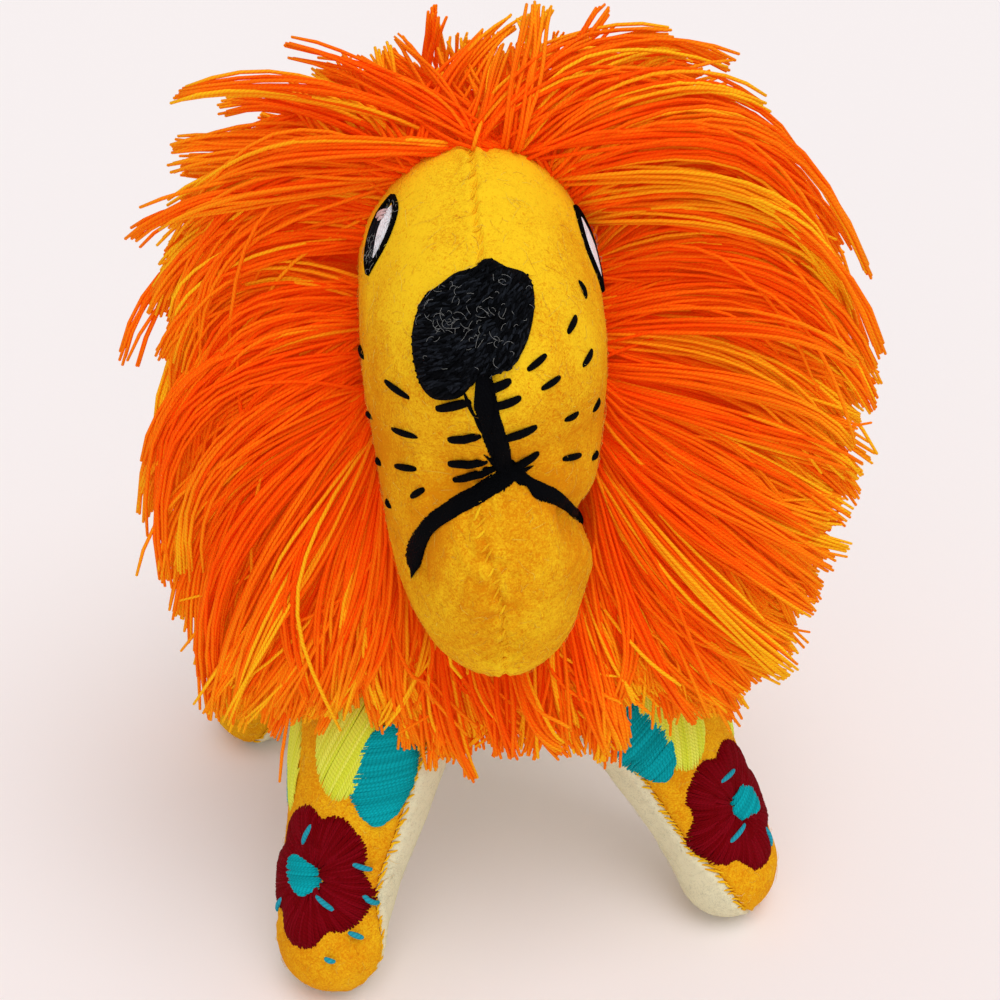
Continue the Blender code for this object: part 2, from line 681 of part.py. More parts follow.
def mane(pose, larger):
    """Yarn sections side by side round the head; each is cut by the head, the body and the front legs."""
    turn = 2 * math.pi / MANE_SECTIONS
    steps = LOCKS_PER_SECTION * STEPS_PER_LOCK
    for i in range(MANE_SECTIONS):
        start = math.pi / 2 + i * turn
        rings = [mane_section_ring(angle) for angle in np.linspace(start, start + turn, steps + 1)]
        for ring, angle, side in ((rings[0], start, 1), (rings[-1], start + turn, -1)):
            inset = Vector((-math.sin(angle), 0, math.cos(angle))) * (side * GAP / 2)
            for point in ring:
                point += inset
        name = f"mane_section_{i + 1:02d}"
        section = new_object(name, ring_mesh(name, rings), pose, cloth=mane_yarn())
        cut(section, *larger, solver="MANIFOLD")


# Tail

def rump_y(height):
    """Where the body's rear surface lies at a height above the floor."""
    half = (RUMP_Y - CHEST_Y) / 2
    share = (height - BODY_Z) / (BODY_HEIGHT / 2)
    return (CHEST_Y + RUMP_Y) / 2 + half * (1 - share**2) ** (1 / BODY_FULLNESS)


def tube_rings(route, radii, columns, round_start):
    """Rings square to a route in the YZ plane; the start is closed by a round cap where it has one."""
    route = np.asarray(route, float)
    along = np.gradient(route, axis=0)
    along /= np.linalg.norm(along, axis=1)[:, None]
    places = [(point, direction, radius, 1) for point, direction, radius in zip(route, along, radii)]
    if round_start:
        places = [(route[0] - along[0] * radii[0] * math.sin(turn), along[0], radii[0], math.cos(turn))
                  for turn in HIP_CAP_TURNS] + places
    rings = []
    for (y, z), (dy, dz), radius, size in places:
        if size < POLE_SHARE:
            rings.append([Vector((0, y, z))])
            continue
        reach = radius * size
        angles = np.arange(columns) / columns * 2 * math.pi
        rings.append([
            Vector((reach * math.cos(a), y - dz * reach * math.sin(a), z + dy * reach * math.sin(a)))
            for a in angles
        ])
    return rings


def tail(body):
    """The stub on the rump and the collar of thread round its end, then the stuffed tube and its yarn tuft.

    The tail swings about the middle of the tube's round end: sideways with the collar, and up from it.
    """
    seat = rump_y(TAIL_Z) + TAIL_STUB
    pivot = seat + GAP + TAIL_COLLAR + GAP + TAIL_RADIUS
    root = new_empty("tail_pose", (0, pivot, TAIL_Z), bpy.data.objects["lion"])
    route = smooth_route(np.array(TAIL_ROUTE_SHARES) * TAIL_DROP, TAIL_ROWS)
    radii = np.linspace(TAIL_RADIUS, TAIL_END_RADIUS, TAIL_ROWS)
    ahead = route[-1] - route[-2]
    ahead = ahead / np.linalg.norm(ahead)
    felt_rings = tube_rings(route, radii, TAIL_COLUMNS, True)
    felt = new_object("tail_felt", ring_mesh("tail_felt", felt_rings), root, cloth=gold_felt())
    longer = np.vstack([route, route[-1] + ahead * TAIL_RADIUS])
    bore_rings = tube_rings(longer, np.append(radii, radii[-1]) - FELT, TAIL_COLUMNS, True)
    cut(felt, new_object("cut_tail_bore", ring_mesh("cut_tail_bore", bore_rings), root))
    filling_rings = tube_rings(route, radii - FELT - GAP, TAIL_COLUMNS, True)
    new_object("tail_filling", ring_mesh("tail_filling", filling_rings), root, cloth=filling())
    stub = [(seat - TAIL_STUB - TAIL_STUB_SINK, TAIL_Z), (seat, TAIL_Z)]
    stub_rings = tube_rings(stub, np.array(TAIL_STUB_SHARES) * TAIL_RADIUS, TAIL_COLUMNS, False)
    cut(new_object("tail_root", ring_mesh("tail_root", stub_rings), cloth=gold_felt()), body.cutter(GAP))
    behind = -TAIL_RADIUS - GAP
    collar = [(behind - TAIL_COLLAR, 0), (behind, 0)]
    collar_rings = tube_rings(collar, [TAIL_COLLAR_SHARE * TAIL_RADIUS] * 2, TAIL_COLUMNS, False)
    gold = thread("gold", GOLD)
    new_object("tail_stitching", ring_mesh("tail_stitching", collar_rings), root, cloth=gold)
    tuft(root, route[-1] + ahead * GAP, ahead)


def tuft(root, start, ahead):
    """A drop of yarn whose surface is drawn in between its locks."""
    rings = []
    count = 4 * TUFT_LOCKS
    for share in TUFT_RING_SHARES:
        swell = math.sin(math.pi * (TUFT_NECK_SHARE + TUFT_SPAN_SHARE * (1 - TUFT_NECK_SHARE) * share))
        centre = start + ahead * TUFT_LENGTH * share
        ring = []
        for a in np.arange(count) / count * 2 * math.pi:
            groove = 1 - TUFT_GROOVE_SHARE * share * (1 + math.cos(TUFT_LOCKS * a))
            reach = TUFT_RADIUS * swell * groove
            across, deep = reach * math.cos(a), reach * math.sin(a)
            ring.append(Vector((across, centre[0] + ahead[1] * deep, centre[1] - ahead[0] * deep)))
        rings.append(ring)
    end = start + ahead * TUFT_LENGTH
    rings.append([Vector((0, end[0], end[1]))])
    new_object("tail_tuft", ring_mesh("tail_tuft", rings), root, cloth=mane_yarn())


def main():
    clear_scene()
    lion = new_empty("lion", (-MIDDLE_X, -MIDDLE_Y, 0))
    pose = new_empty("head_pose", NECK_PLACE, lion, (0, HEAD_ROLL, HEAD_YAW))
    head = head_form(pose)
    body = body_form()
    head_panels(head)
    face(head)
    eye_rooms = eyes(head)
    body_panels(body, head)
    larger = (head.cutter(GAP), body.cutter(GAP))
    floor = half_space("floor", (0, 0, 0), (0, 0, -1), 2 * RUMP_Y)
    legs = []
    for side in SIDES:
        legs.append(Leg("front", side, FRONT_HIPS[side], FRONT_FOOT, FRONT_TURNS[side]))
        legs.append(Leg("rear", side, REAR_HIP, REAR_FOOT, REAR_TURN))
    for leg in legs:
        leg_panels(leg, floor, larger)
        if leg.name.startswith("front"):
            leg_embroidery(leg, larger)
    front_legs = [leg.form.cutter(2 * GAP + THREAD) for leg in legs if leg.name.startswith("front")]
    mane(pose, (*larger, *front_legs, *eye_rooms))
    tail(body)


main()
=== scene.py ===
"""Looks of the hand-sewn felt lion: felt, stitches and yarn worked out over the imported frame, in metres.

Each stuffed form is a surface of two parameters. Stitches and yarn are tubes carried along paths that lie on
those forms. The face's stitches are placed by their sight lines from the photograph's camera.
"""

import math
from functools import cache

import bpy
import numpy as np
from mathutils import Matrix, Vector
from mathutils.bvhtree import BVHTree


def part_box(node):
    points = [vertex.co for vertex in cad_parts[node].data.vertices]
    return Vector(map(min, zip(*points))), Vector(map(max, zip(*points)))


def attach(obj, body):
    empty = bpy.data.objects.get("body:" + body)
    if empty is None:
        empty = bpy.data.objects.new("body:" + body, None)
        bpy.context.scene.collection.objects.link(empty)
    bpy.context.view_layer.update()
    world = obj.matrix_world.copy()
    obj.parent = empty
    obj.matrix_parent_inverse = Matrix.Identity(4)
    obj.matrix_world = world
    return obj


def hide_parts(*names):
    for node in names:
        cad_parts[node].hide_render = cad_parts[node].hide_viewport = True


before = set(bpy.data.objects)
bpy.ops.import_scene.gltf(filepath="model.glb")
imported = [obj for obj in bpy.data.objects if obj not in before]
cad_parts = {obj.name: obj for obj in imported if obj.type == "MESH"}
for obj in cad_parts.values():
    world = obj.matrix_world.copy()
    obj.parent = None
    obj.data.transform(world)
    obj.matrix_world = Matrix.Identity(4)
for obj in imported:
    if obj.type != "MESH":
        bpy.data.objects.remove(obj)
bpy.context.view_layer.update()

bl_info = {
    "name": "Felt lion looks",
    "version": (1, 0, 0),
    "blender": (4, 5, 0),
    "location": "3D View > Sidebar > Felt Lion",
    "description": "Builds the felt, stitches and yarn of the lion over its packed frame",
    "category": "Object",
}

MM = 0.001
TURN = 2 * math.pi

# Distance between whip stitches on the head and body and on the legs, and of the puckers and the chin's wrinkles
SEAM_PITCH, LEG_PITCH, PUCKER_PITCH, WRINKLE_PITCH = 0.0038, 0.0036, 0.0052, 0.0032
# Distance between the legs' satin stitches, how high fibres and plies are shaded, and how blunt a thread's tips are
SATIN_PITCH, FIBRE_RISE, TIP_SHARE = 0.60 * MM, 0.12 * MM, 0.7
HEAD_HAIRS, PANEL_HAIRS, NOSE_STITCHES = 4000, 800, 900

# The CAD's datum and the neck, and how the head is turned on it
LION = np.array((0.00235, -0.03381, 0.0))
NECK = LION + (0.0016, 0.0300, 0.1700)
HEAD_YAW, HEAD_ROLL = math.radians(-11.25), math.radians(-2.7)

# Camera of the photograph
CAMERA_LOW, CAMERA_TURN, CAMERA_REACH = math.radians(32.0), math.radians(-14.6), 0.50
CAMERA_AIM = np.array((0.00335, -0.03381, 0.122))
FRAME_PIXELS, FOCAL_PIXELS, SENSOR = 1000, 1820.0, 36.0

# Head
HEAD_REACH, HEAD_HALF_HEIGHT, HEAD_WIDTH, HEAD_FULLNESS = 0.111, 0.063, 0.0597, 3.6
HEAD_CENTRE = np.array((0.37 * HEAD_REACH, 0.02 * HEAD_HALF_HEIGHT))
HEAD_WIDTH_SHARES = ((-1, 0.93), (-0.62, 0.925), (-0.28, 0.915), (0.12, 1.0), (0.6, 1.0), (1, 0.97))
HEAD_OUTLINE_SHARES = (
    (0.46, 1.00), (0.76, 0.84), (0.89, 0.66), (0.955, 0.44), (0.95, 0.24), (0.935, 0.10),
    (1.00, -0.18), (0.995, -0.52), (0.91, -0.85), (0.72, -1.00), (0.45, -0.98), (0.09, -0.89),
    (-0.27, -0.70), (-0.41, -0.35), (-0.31, 0.06), (-0.09, 0.54), (0.17, 0.89),
)
# Its grid, and about how long its outline is
HEAD_ROWS, HEAD_COLS, HEAD_ROUND = 161, 420, 0.42
# Painted shade at shares of the half height: the gold light yellow on the forehead as if lit from above, painted
# deeper and warmer in shade down the muzzle
HEAD_PAINTED_SHADE = (-1, -0.6, -0.1, 0.15, 0.5, 0.8, 1), (0.48, 0.50, 0.72, 0.74, 0.26, 0.0, -0.05)
CHIN_BALL = np.array((0.0040, -0.1060, -0.0270))
MOUTH_ROUTE = ((-0.0194, -0.0233), (-0.0188, -0.0164), (-0.0149, -0.0057), (-0.0084, 0.0013),
               (0.0031, 0.0058), (0.0107, 0.0013), (0.0152, -0.0032), (0.0189, -0.0094))
# The fold from the mouth's corner on the lion's left round to the side of the head
FOLD = ((0.0195, -0.0975, -0.0126), (0.0225, -0.0900, -0.0178), (0.0262, -0.0790, -0.0230),
        (0.0275, -0.0640, -0.0280), (0.0275, -0.0480, -0.0328))

# Face, between points of the photograph's frame
PHILTRUM_LINE = ((479, 380), (487, 405), (494, 431), (501, 452), (507, 470))
PHILTRUM_ENDS = ((464, 392), (475, 418)), ((473, 412), (486, 438))
MOUTH_LEFT = ((512, 470), (490, 486), (468, 500), (441, 519), (423, 541), (416, 572))
MOUTH_RIGHT = ((502, 470), (518, 475), (535, 487), (560, 500), (579, 516))
BARS = (
    ((437, 409), (470, 402)), ((449, 440), (480, 436)), ((449, 464), (486, 462)), ((454, 480), (496, 468)),
    ((486, 392), (510, 381)), ((490, 408), (520, 398)), ((500, 440), (536, 427)), ((508, 470), (538, 453)),
)
WHISKERS = (
    ((579, 281), (586, 298)), ((568, 333), (576, 316)), ((583, 366), (592, 350)), ((528, 370), (546, 355)),
    ((542, 389), (560, 377)), ((565, 420), (578, 413)), ((563, 459), (581, 455)), ((593, 411), (599, 399)),
    ((592, 459), (597, 452)), ((360, 346), (364, 358)), ((385, 381), (409, 398)), ((364, 407), (372, 418)),
    ((392, 429), (417, 437)), ((395, 466), (416, 469)), ((411, 497), (424, 489)), ((387, 500), (391, 507)),
    ((377, 459), (381, 464)),
)
NOSE_EDGE = (
    (491, 259), (505, 267), (524, 273), (532, 285), (534, 304), (531, 327), (524, 348), (512, 367), (495, 374),
    (478, 378), (462, 396), (443, 400), (430, 396), (420, 382), (414, 357), (413, 334), (417, 315), (424, 298),
    (440, 285), (457, 273), (472, 269), (482, 261),
)
# Where loose fibres lie over the nose: a middle, their spread and count
NOSE_FUZZ = ((476, 322), (30, 26), 70), ((448, 318), (12, 12), 24)

# Eyes: how far ahead and up one lies, its tilt, height, width and its pupil's share of that
EYES = {
    "right": (0.0621, 0.0468, math.radians(36), 0.0184, 0.0123, 0.49),
    "left": (0.0561, 0.0370, math.radians(20), 0.0208, 0.0130, 0.34),
}
EYE_RIM, EYE_THREAD = 0.0010, 0.0008
# Tufts of pale pink yarn at the ends of the whites, between points of the photograph's frame
EYE_TUFTS = {
    "right": (((380, 216), (390, 211)), ((379, 219), (389, 214)), ((381, 222), (387, 218))),
    "left": (((586, 216), (592, 213)), ((586, 219), (593, 217)), ((588, 222), (593, 221)),
             ((601, 272), (607, 270)), ((602, 277), (608, 275))),
}
# Where loose fibres lie over an eye: two points of the photograph's frame, their spread and count
EYE_FUZZ = {"right": ((398, 203), (371, 266), 4.0, 46), "left": ((580, 206), (604, 282), 2.5, 22)}

# Body
CHEST_Y, RUMP_Y, BODY_Z = -0.031, 0.116, 0.114
BODY_MIDDLE, BODY_HALF = (CHEST_Y + RUMP_Y) / 2, (RUMP_Y - CHEST_Y) / 2
BODY_HEIGHT, BODY_WIDTH, BODY_FULLNESS, BELLY_SAG = 0.080, 0.070, 2.7, 0.003
BODY_ROWS, BODY_COLS, BODY_RUN, BODY_STITCHES = 120, 240, 0.16, 92
GUSSET_ANGLE = math.radians(47)
# Share of the body's half length and how far from its bottom, in degrees, the belly's seam runs there
GUSSET_ROUTE = ((-1, 50), (-0.95, 54), (-0.29, 64), (0.13, 47.5), (0.5, 55), (0.84, 82), (1, 84))

# Legs: hip, foot, how far the outer panel turns to the front
LEGS = {
    "front_right": ((0.0275, -0.0030, 0.0940), (0.0600, -0.0408, 0.0142), math.radians(25)),
    "front_left": ((0.0230, -0.0030, 0.0940), (0.0600, -0.0408, 0.0142), math.radians(37)),
    "rear_right": ((0.0250, 0.0800, 0.0980), (0.0650, 0.0740, 0.0149), math.radians(12)),
    "rear_left": ((0.0250, 0.0800, 0.0980), (0.0650, 0.0740, 0.0149), math.radians(12)),
}
# How far the seams turn under a foot
FOOT_TWISTS = {"front_right": math.radians(34), "front_left": math.radians(-24)}
HIP_DEPTH, HIP_WIDTH = 0.058, 0.049
ANKLE_DEPTH, ANKLE_WIDTH = 0.0290, 0.0270
FOOT_DEPTH, FOOT_WIDTH = 0.0340, 0.0285
FOOT_END = (FOOT_DEPTH + FOOT_WIDTH) / 4
TOE_REACH, TAPER_POWER, FOOT_START = 0.0030, 1.2, 0.72
LEG_ROWS, LEG_COLS, LEG_RADIUS = 170, 120, 0.014

# Leaves: share of the way down the leg, turn to the toe, height and width, lean of the stitches, finish
LEAVES = {
    "teal_leaf": (0.455, math.radians(67), (0.0300, 0.0185), math.radians(25), "teal_thread"),
    "lime_leaf": (0.395, math.radians(34), (0.0340, 0.0185), math.radians(72), "lime_thread"),
    "outer_lime_leaf": (0.50, math.radians(-27), (0.0320, 0.0110), math.radians(80), "lime_thread"),
    "outer_teal_leaf": (0.53, math.radians(-56), (0.0280, 0.0150), math.radians(-25), "teal_thread"),
}
LEAF_FULLNESS = 0.62
# How much further down and round to the toe a leaf sits on one leg
LEAF_MOVES = {
    ("front_left", "teal_leaf"): (-0.005, math.radians(9)), ("front_left", "lime_leaf"): (0.05, math.radians(16)),
}
FLOWER_SHARE, FLOWER_TURN, FLOWER_WIDTH, FLOWER_HEIGHT = 0.81, math.radians(27), 0.0325, 0.0400
HEART_SHARE, HEART_TURN, FLOWER_HEART = 0.82, math.radians(12), 0.0062
PETALS, PETAL_DEPTH_SHARE = 5, 0.17
# Layers of the flower's stitches: where they start and end from its middle to its rim, and their count
FLOWER_LAYERS = (0.50, 1.0, 150), (0.22, 0.70, 100), (0.42, 0.98, 150)
# Single stitches over the petals, between points of the photograph's frame
PETAL_STITCHES = {
    "front_right": (((315, 823), (306, 843)), ((352, 862), (371, 868)), ((318, 895), (335, 910)),
                    ((287, 897), (281, 910)), ((362, 894), (375, 902)), ((348, 932), (361, 937)),
                    ((326, 957), (335, 960))),
    "front_left": (((731, 769), (717, 782)), ((728, 842), (742, 824)), ((761, 827), (768, 846))),
}

# Mane, in the head's frame
MANE_RADIUS, MANE_SQUARENESS, MANE_LOWER_SHARE = 0.0950, 2.4, 0.93
MANE_SHIFT, MANE_DROP, MANE_FRONT, MANE_BACK = 0.0049, 0.0105, 0.0540, 0.0150
MANE_TIP_TOP, MANE_TIP_BOTTOM, MANE_BULGE = 0.0200, 0.0760, 0.0070
MANE_SECTIONS, MANE_TUFTS, STRAND_STEPS = 10, 4, 11
# Share of the mane's depth at which a layer of tufts is rooted, and the locks in one of its tufts
MANE_LAYERS = ((0.0, 8), (0.12, 7), (0.30, 5), (0.55, 4), (0.85, 4), (1.12, 6))
# Angle of a root about the mane's axis, of its strand's tip, of its first heading, and how far it keeps that
MANE_FLOW = np.array((
    (-90, -90, -90, 0.5), (-75, -76, -84, 0.5), (-60, -67, -78, 0.5), (-50, -60, -68, 0.5), (-40, -55, -64, 0.5),
    (-30, -50, -58, 0.5), (-20, -44, -50, 0.5), (-10, -38, -38, 0.5), (0, -31, -28, 0.5), (10, -26, -26, 0.5),
    (20, -21, -22, 0.5), (30, -13, -14, 0.55), (40, -3, 0, 0.6), (50, 4, 14, 0.65), (60, 10, 25, 0.7),
    (70, 20, 32, 0.75), (78, 38, 42, 0.75), (84, 62, 60, 0.6), (90, 90, 90, 0.5), (97, 107, 122, 0.5),
    (103, 124, 145, 0.6), (110, 144, 160, 0.65), (120, 158, 166, 0.7), (130, 171, 168, 0.75), (140, 185, 173, 0.72),
    (150, 200, 184, 0.65), (160, 212, 202, 0.6), (170, 220, 221, 0.55), (180, 226, 234, 0.5), (190, 230, 240, 0.5),
    (200, 233, 243, 0.5), (210, 236, 244, 0.5), (220, 240, 247, 0.5), (230, 244, 251, 0.5), (240, 250, 257, 0.5),
    (250, 257, 262, 0.5), (260, 264, 266, 0.5), (270, 270, 270, 0.5),
)).T
# Angle of a tip and the share of the mane's radius that it reaches
MANE_REACH = np.array((
    (-90, 0.92), (-82, 0.95), (-77, 1.00), (-71, 0.84), (-64, 0.88), (-57, 1.05), (-43, 0.96), (-28, 0.94), (0, 0.97),
    (10, 0.96), (25, 0.92), (43, 0.94), (70, 0.95), (90, 0.95), (110, 0.91), (122, 0.96), (136, 1.01), (148, 0.95),
    (167, 0.87), (178, 0.87), (189, 0.93), (205, 1.01), (224, 1.11), (231, 0.95), (238, 0.86), (247, 0.86),
    (253, 1.00), (260, 0.93), (270, 0.92),
)).T

# Tail
TAIL_PIVOT = np.array((0.00235, 0.08816, 0.1340))
TAIL_RADIUS, TAIL_END_RADIUS, TAIL_DROP = 0.0062, 0.0050, 0.0660
TAIL_ROUTE_SHARES = ((0, 0), (0.13, -0.09), (0.23, -0.33), (0.26, -0.68), (0.23, -1.0))
TAIL_STEPS, TAIL_SIDES = 60, 48
TUFT_LENGTH, TUFT_RADIUS, TUFT_STRANDS, TUFT_STEPS = 0.0450, 0.0130, 260, 16
BINDING_RADIUS = 0.0006

SIDES = {"right": -1, "left": 1}
HEAD_FILL, PANEL_FILL, STUB_FILL = 0.9, 0.85, 0.8


def unit(vectors):
    """The vectors at length one."""
    vectors = np.asarray(vectors, float)
    return vectors / np.maximum(np.linalg.norm(vectors, axis=-1, keepdims=True), 1e-12)


def smooth_step(share):
    share = np.clip(share, 0, 1)
    return share * share * (3 - 2 * share)


def bump(distance, width):
    """A bell of height one whose sides fall away over the width."""
    return np.exp(-((np.asarray(distance) / width) ** 2))


def ray(angle):
    """The direction at an angle in a plane."""
    return np.stack([np.cos(angle), np.sin(angle)], axis=-1)


def full_turn(count):
    """Angles spaced evenly round a turn."""
    return np.arange(count) / count * TURN


def lengths(points):
    """How far along a row of points each lies."""
    return np.concatenate([[0], np.cumsum(np.linalg.norm(np.diff(points, axis=0), axis=1))])


def read(at, run, points):
    """Points of a line at places along its run."""
    return np.column_stack([np.interp(at, run, column) for column in points.T])


def smooth_curve(points, count, closed=False):
    """Points spaced evenly along the Catmull-Rom curve through the given points."""
    points = np.asarray(points, float)
    if closed:
        row = np.vstack([points[-1:], points, points[:2]])
    else:
        row = np.vstack([2 * points[0] - points[1], points, 2 * points[-1] - points[-2]])
    steps = np.linspace(0, 1, 16, endpoint=False)[:, None]
    curve = np.vstack([
        0.5 * (2 * b + (c - a) * steps + (2 * a - 5 * b + 4 * c - d) * steps**2
               + (3 * b - a - 3 * c + d) * steps**3)
        for a, b, c, d in zip(row, row[1:], row[2:], row[3:])
    ] + [row[-2:-1]])
    run = lengths(curve)
    return read(np.linspace(0, run[-1], count, endpoint=not closed), run, curve)


def line_distance(points, route, count):
    """Distance of points from a smooth line, in a plane or in space."""
    return np.sqrt(((points[..., None, :] - smooth_curve(route, count)) ** 2).sum(axis=-1)).min(axis=-1)


def lumps(points, size, seed):
    """Smooth noise from -1 to 1: values hashed at the corners of a lattice of that size, blended between."""
    cell = np.asarray(points, float) / size + seed * 17.31
    base = np.floor(cell).astype(np.int64)
    part = smooth_step(cell - base)
    total = np.zeros(cell.shape[:-1])
    for corner in np.ndindex(2, 2, 2):
        at = base + corner
        mixed = (at[..., 0] * 73856093) ^ (at[..., 1] * 19349663) ^ (at[..., 2] * 83492791) ^ (seed * 2654435)
        mixed = (mixed ^ (mixed >> 13)) * 1274126177
        value = ((mixed ^ (mixed >> 16)) & 0xFFFF) / 32767.5 - 1
        total += value * np.prod(np.where(corner, part, 1 - part), axis=-1)
    return total


# Meshes

def grid_faces(rows, cols):
    """The quads of a grid that closes over its columns."""
    near = np.arange(cols)
    far, row = (near + 1) % cols, np.arange(rows - 1)[:, None] * cols
    return np.stack([row + near, row + far, row + far + cols, row + near + cols], axis=-1).reshape(-1, 4)


def ring_batch(rings, starts, ends, tint=None):
    """Closed tubes of any section: rings (count, steps, sides, 3) closed by a pole at each end.

    The UV map runs round the tube and, in metres, along it. A tint is one a tube or one a step.
    """
    count, steps, sides = rings.shape[:3]
    verts = np.concatenate([rings.reshape(count, steps * sides, 3), starts[:, None], ends[:, None]], axis=1)
    near = np.arange(sides)
    far, last, pole = (near + 1) % sides, (steps - 1) * sides, np.full(sides, steps * sides)
    tris = np.vstack([np.stack([pole, far, near], -1), np.stack([pole + 1, last + near, last + far], -1)])
    shift = (np.arange(count) * verts.shape[1])[:, None, None]
    run = np.cumsum(np.linalg.norm(np.diff(rings.mean(axis=2), axis=1), axis=2), axis=1)
    run = np.concatenate([np.zeros((count, 1)), run], axis=1)
    quad_uv = np.empty((count, steps - 1, sides, 4, 2))
    quad_uv[..., 0] = np.stack([near, near + 1, near + 1, near], -1) / sides
    quad_uv[..., :2, 1] = run[:, :-1, None, None]
    quad_uv[..., 2:, 1] = run[:, 1:, None, None]
    tri_uv = np.zeros((count, 2 * sides, 3, 2))
    cap = np.stack([near + 0.5, near + 1, near], -1) / sides
    tri_uv[..., 0] = np.vstack([cap, cap[:, [0, 2, 1]]])
    tri_uv[:, sides:, :, 1] = run[:, -1, None, None]
    tint = np.zeros(count) if tint is None else np.asarray(tint, float)
    tint = np.broadcast_to(tint.reshape(count, -1), (count, steps))
    share = np.concatenate([np.repeat(np.linspace(0, 1, steps), sides), [0, 1]])
    return {
        "verts": verts.reshape(-1, 3),
        "quads": (grid_faces(steps, sides) + shift).reshape(-1, 4),
        "tris": (tris + shift).reshape(-1, 3),
        "quad_uv": quad_uv.reshape(-1, 2),
        "tri_uv": tri_uv.reshape(-1, 2),
        "share": np.tile(share, count),
        "tint": np.concatenate([np.repeat(tint, sides, axis=1), tint[:, :1], tint[:, -1:]], axis=1).ravel(),
    }


def tubes(paths, radii, sides=5, ups=None, flat=1.0, tint=None):
    """Tubes with rounded ends along paths (count, steps, 3), flattened along the ups by a share."""
    radii = np.broadcast_to(radii, paths.shape[:2])
    along = unit(np.gradient(paths, axis=1))
    if ups is None:
        ups = np.eye(3)[np.argmin(np.abs(paths[:, -1] - paths[:, 0]), axis=1)][:, None]
    across = unit(np.cross(ups, along))
    above = np.cross(along, across)
    angle = full_turn(sides)
    ring = across[:, :, None] * np.cos(angle)[:, None] + above[:, :, None] * (np.sin(angle) * flat)[:, None]
    rings = paths[:, :, None] + ring * radii[:, :, None, None]
    starts = paths[:, 0] - along[:, 0] * radii[:, :1] * TIP_SHARE
    ends = paths[:, -1] + along[:, -1] * radii[:, -1:] * TIP_SHARE
    return ring_batch(rings, starts, ends, tint)


def joined(batches):
    """Several batches as one."""
    shift, out = 0, {key: [] for key in batches[0]}
    for batch in batches:
        for key, values in batch.items():
            out[key].append(values + shift if key in ("quads", "tris") else values)
        shift += len(batch["verts"])
    return {key: np.concatenate(values) for key, values in out.items()}


def outwards(batch):
    """The batch with its faces turned round if the volume that they enclose is negative."""
    quads = batch["quads"]
    corners = np.vstack([quads[:, [0, 1, 2]], quads[:, [0, 2, 3]], batch["tris"]])
    a, b, c = (batch["verts"][corners[:, k]] for k in range(3))
    if np.einsum("ij,ij->", a, np.cross(b, c)) < 0:
        for faces, uv in (("quads", "quad_uv"), ("tris", "tri_uv")):
            sides = batch[faces].shape[1]
            batch[faces] = batch[faces][:, ::-1]
            batch[uv] = batch[uv].reshape(-1, sides, 2)[:, ::-1].reshape(-1, 2)
    return batch


def closed(rings, tint=0.0):
    """A form of rings (steps, sides, 3), closed by poles amid the first and last, with a tint at each point."""
    batch = ring_batch(rings[None], rings[:1].mean(axis=1), rings[-1:].mean(axis=1))
    tint = np.broadcast_to(tint, rings.shape[:2])
    batch["tint"] = np.concatenate([tint.ravel(), [tint[0].mean(), tint[-1].mean()]])
    return outwards(batch)


def piece(name, batch, finish, *nodes, slot=None, body="lion", fill=None):
    """A batch as an object at the origin that rides on a body and stands for CAD nodes."""
    if isinstance(batch, list):
        batch = joined(batch)
    slot = slot or finish
    mesh = bpy.data.meshes.new(name)
    quads, tris = batch["quads"], batch["tris"]
    mesh.vertices.add(len(batch["verts"]))
    mesh.vertices.foreach_set("co", batch["verts"].astype(np.float32).ravel())
    mesh.loops.add(quads.size + tris.size)
    mesh.loops.foreach_set("vertex_index", np.concatenate([quads.ravel(), tris.ravel()]).astype(np.int32))
    mesh.polygons.add(len(quads) + len(tris))
    starts = np.concatenate([np.arange(len(quads)) * 4, quads.size + np.arange(len(tris)) * 3])
    mesh.polygons.foreach_set("loop_start", starts.astype(np.int32))
    uv = mesh.uv_layers.new(name="UVMap")
    uv.data.foreach_set("uv", np.concatenate([batch["quad_uv"], batch["tri_uv"]]).astype(np.float32).ravel())
    for key in ("tint", "share"):
        layer = mesh.attributes.new(key, "FLOAT", "POINT")
        layer.data.foreach_set("value", batch[key].astype(np.float32))
    mesh.update(calc_edges=True)
    mesh.validate()
    mesh.shade_smooth()
    mesh.materials.append(cloth(finish))
    obj = bpy.data.objects.new(name, mesh)
    bpy.context.scene.collection.objects.link(obj)
    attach(obj, body)
    if nodes:
        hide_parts(*nodes)


def grid_normals(grid):
    """Outward normals of a grid that closes over its columns, from its differences along rows and columns."""
    normals = unit(np.cross(np.roll(grid, -1, axis=1) - np.roll(grid, 1, axis=1), np.gradient(grid, axis=0)))
    outward = grid - grid.mean(axis=1, keepdims=True)
    return normals * (1 if np.einsum("ijk,ijk->", normals, outward) > 0 else -1)


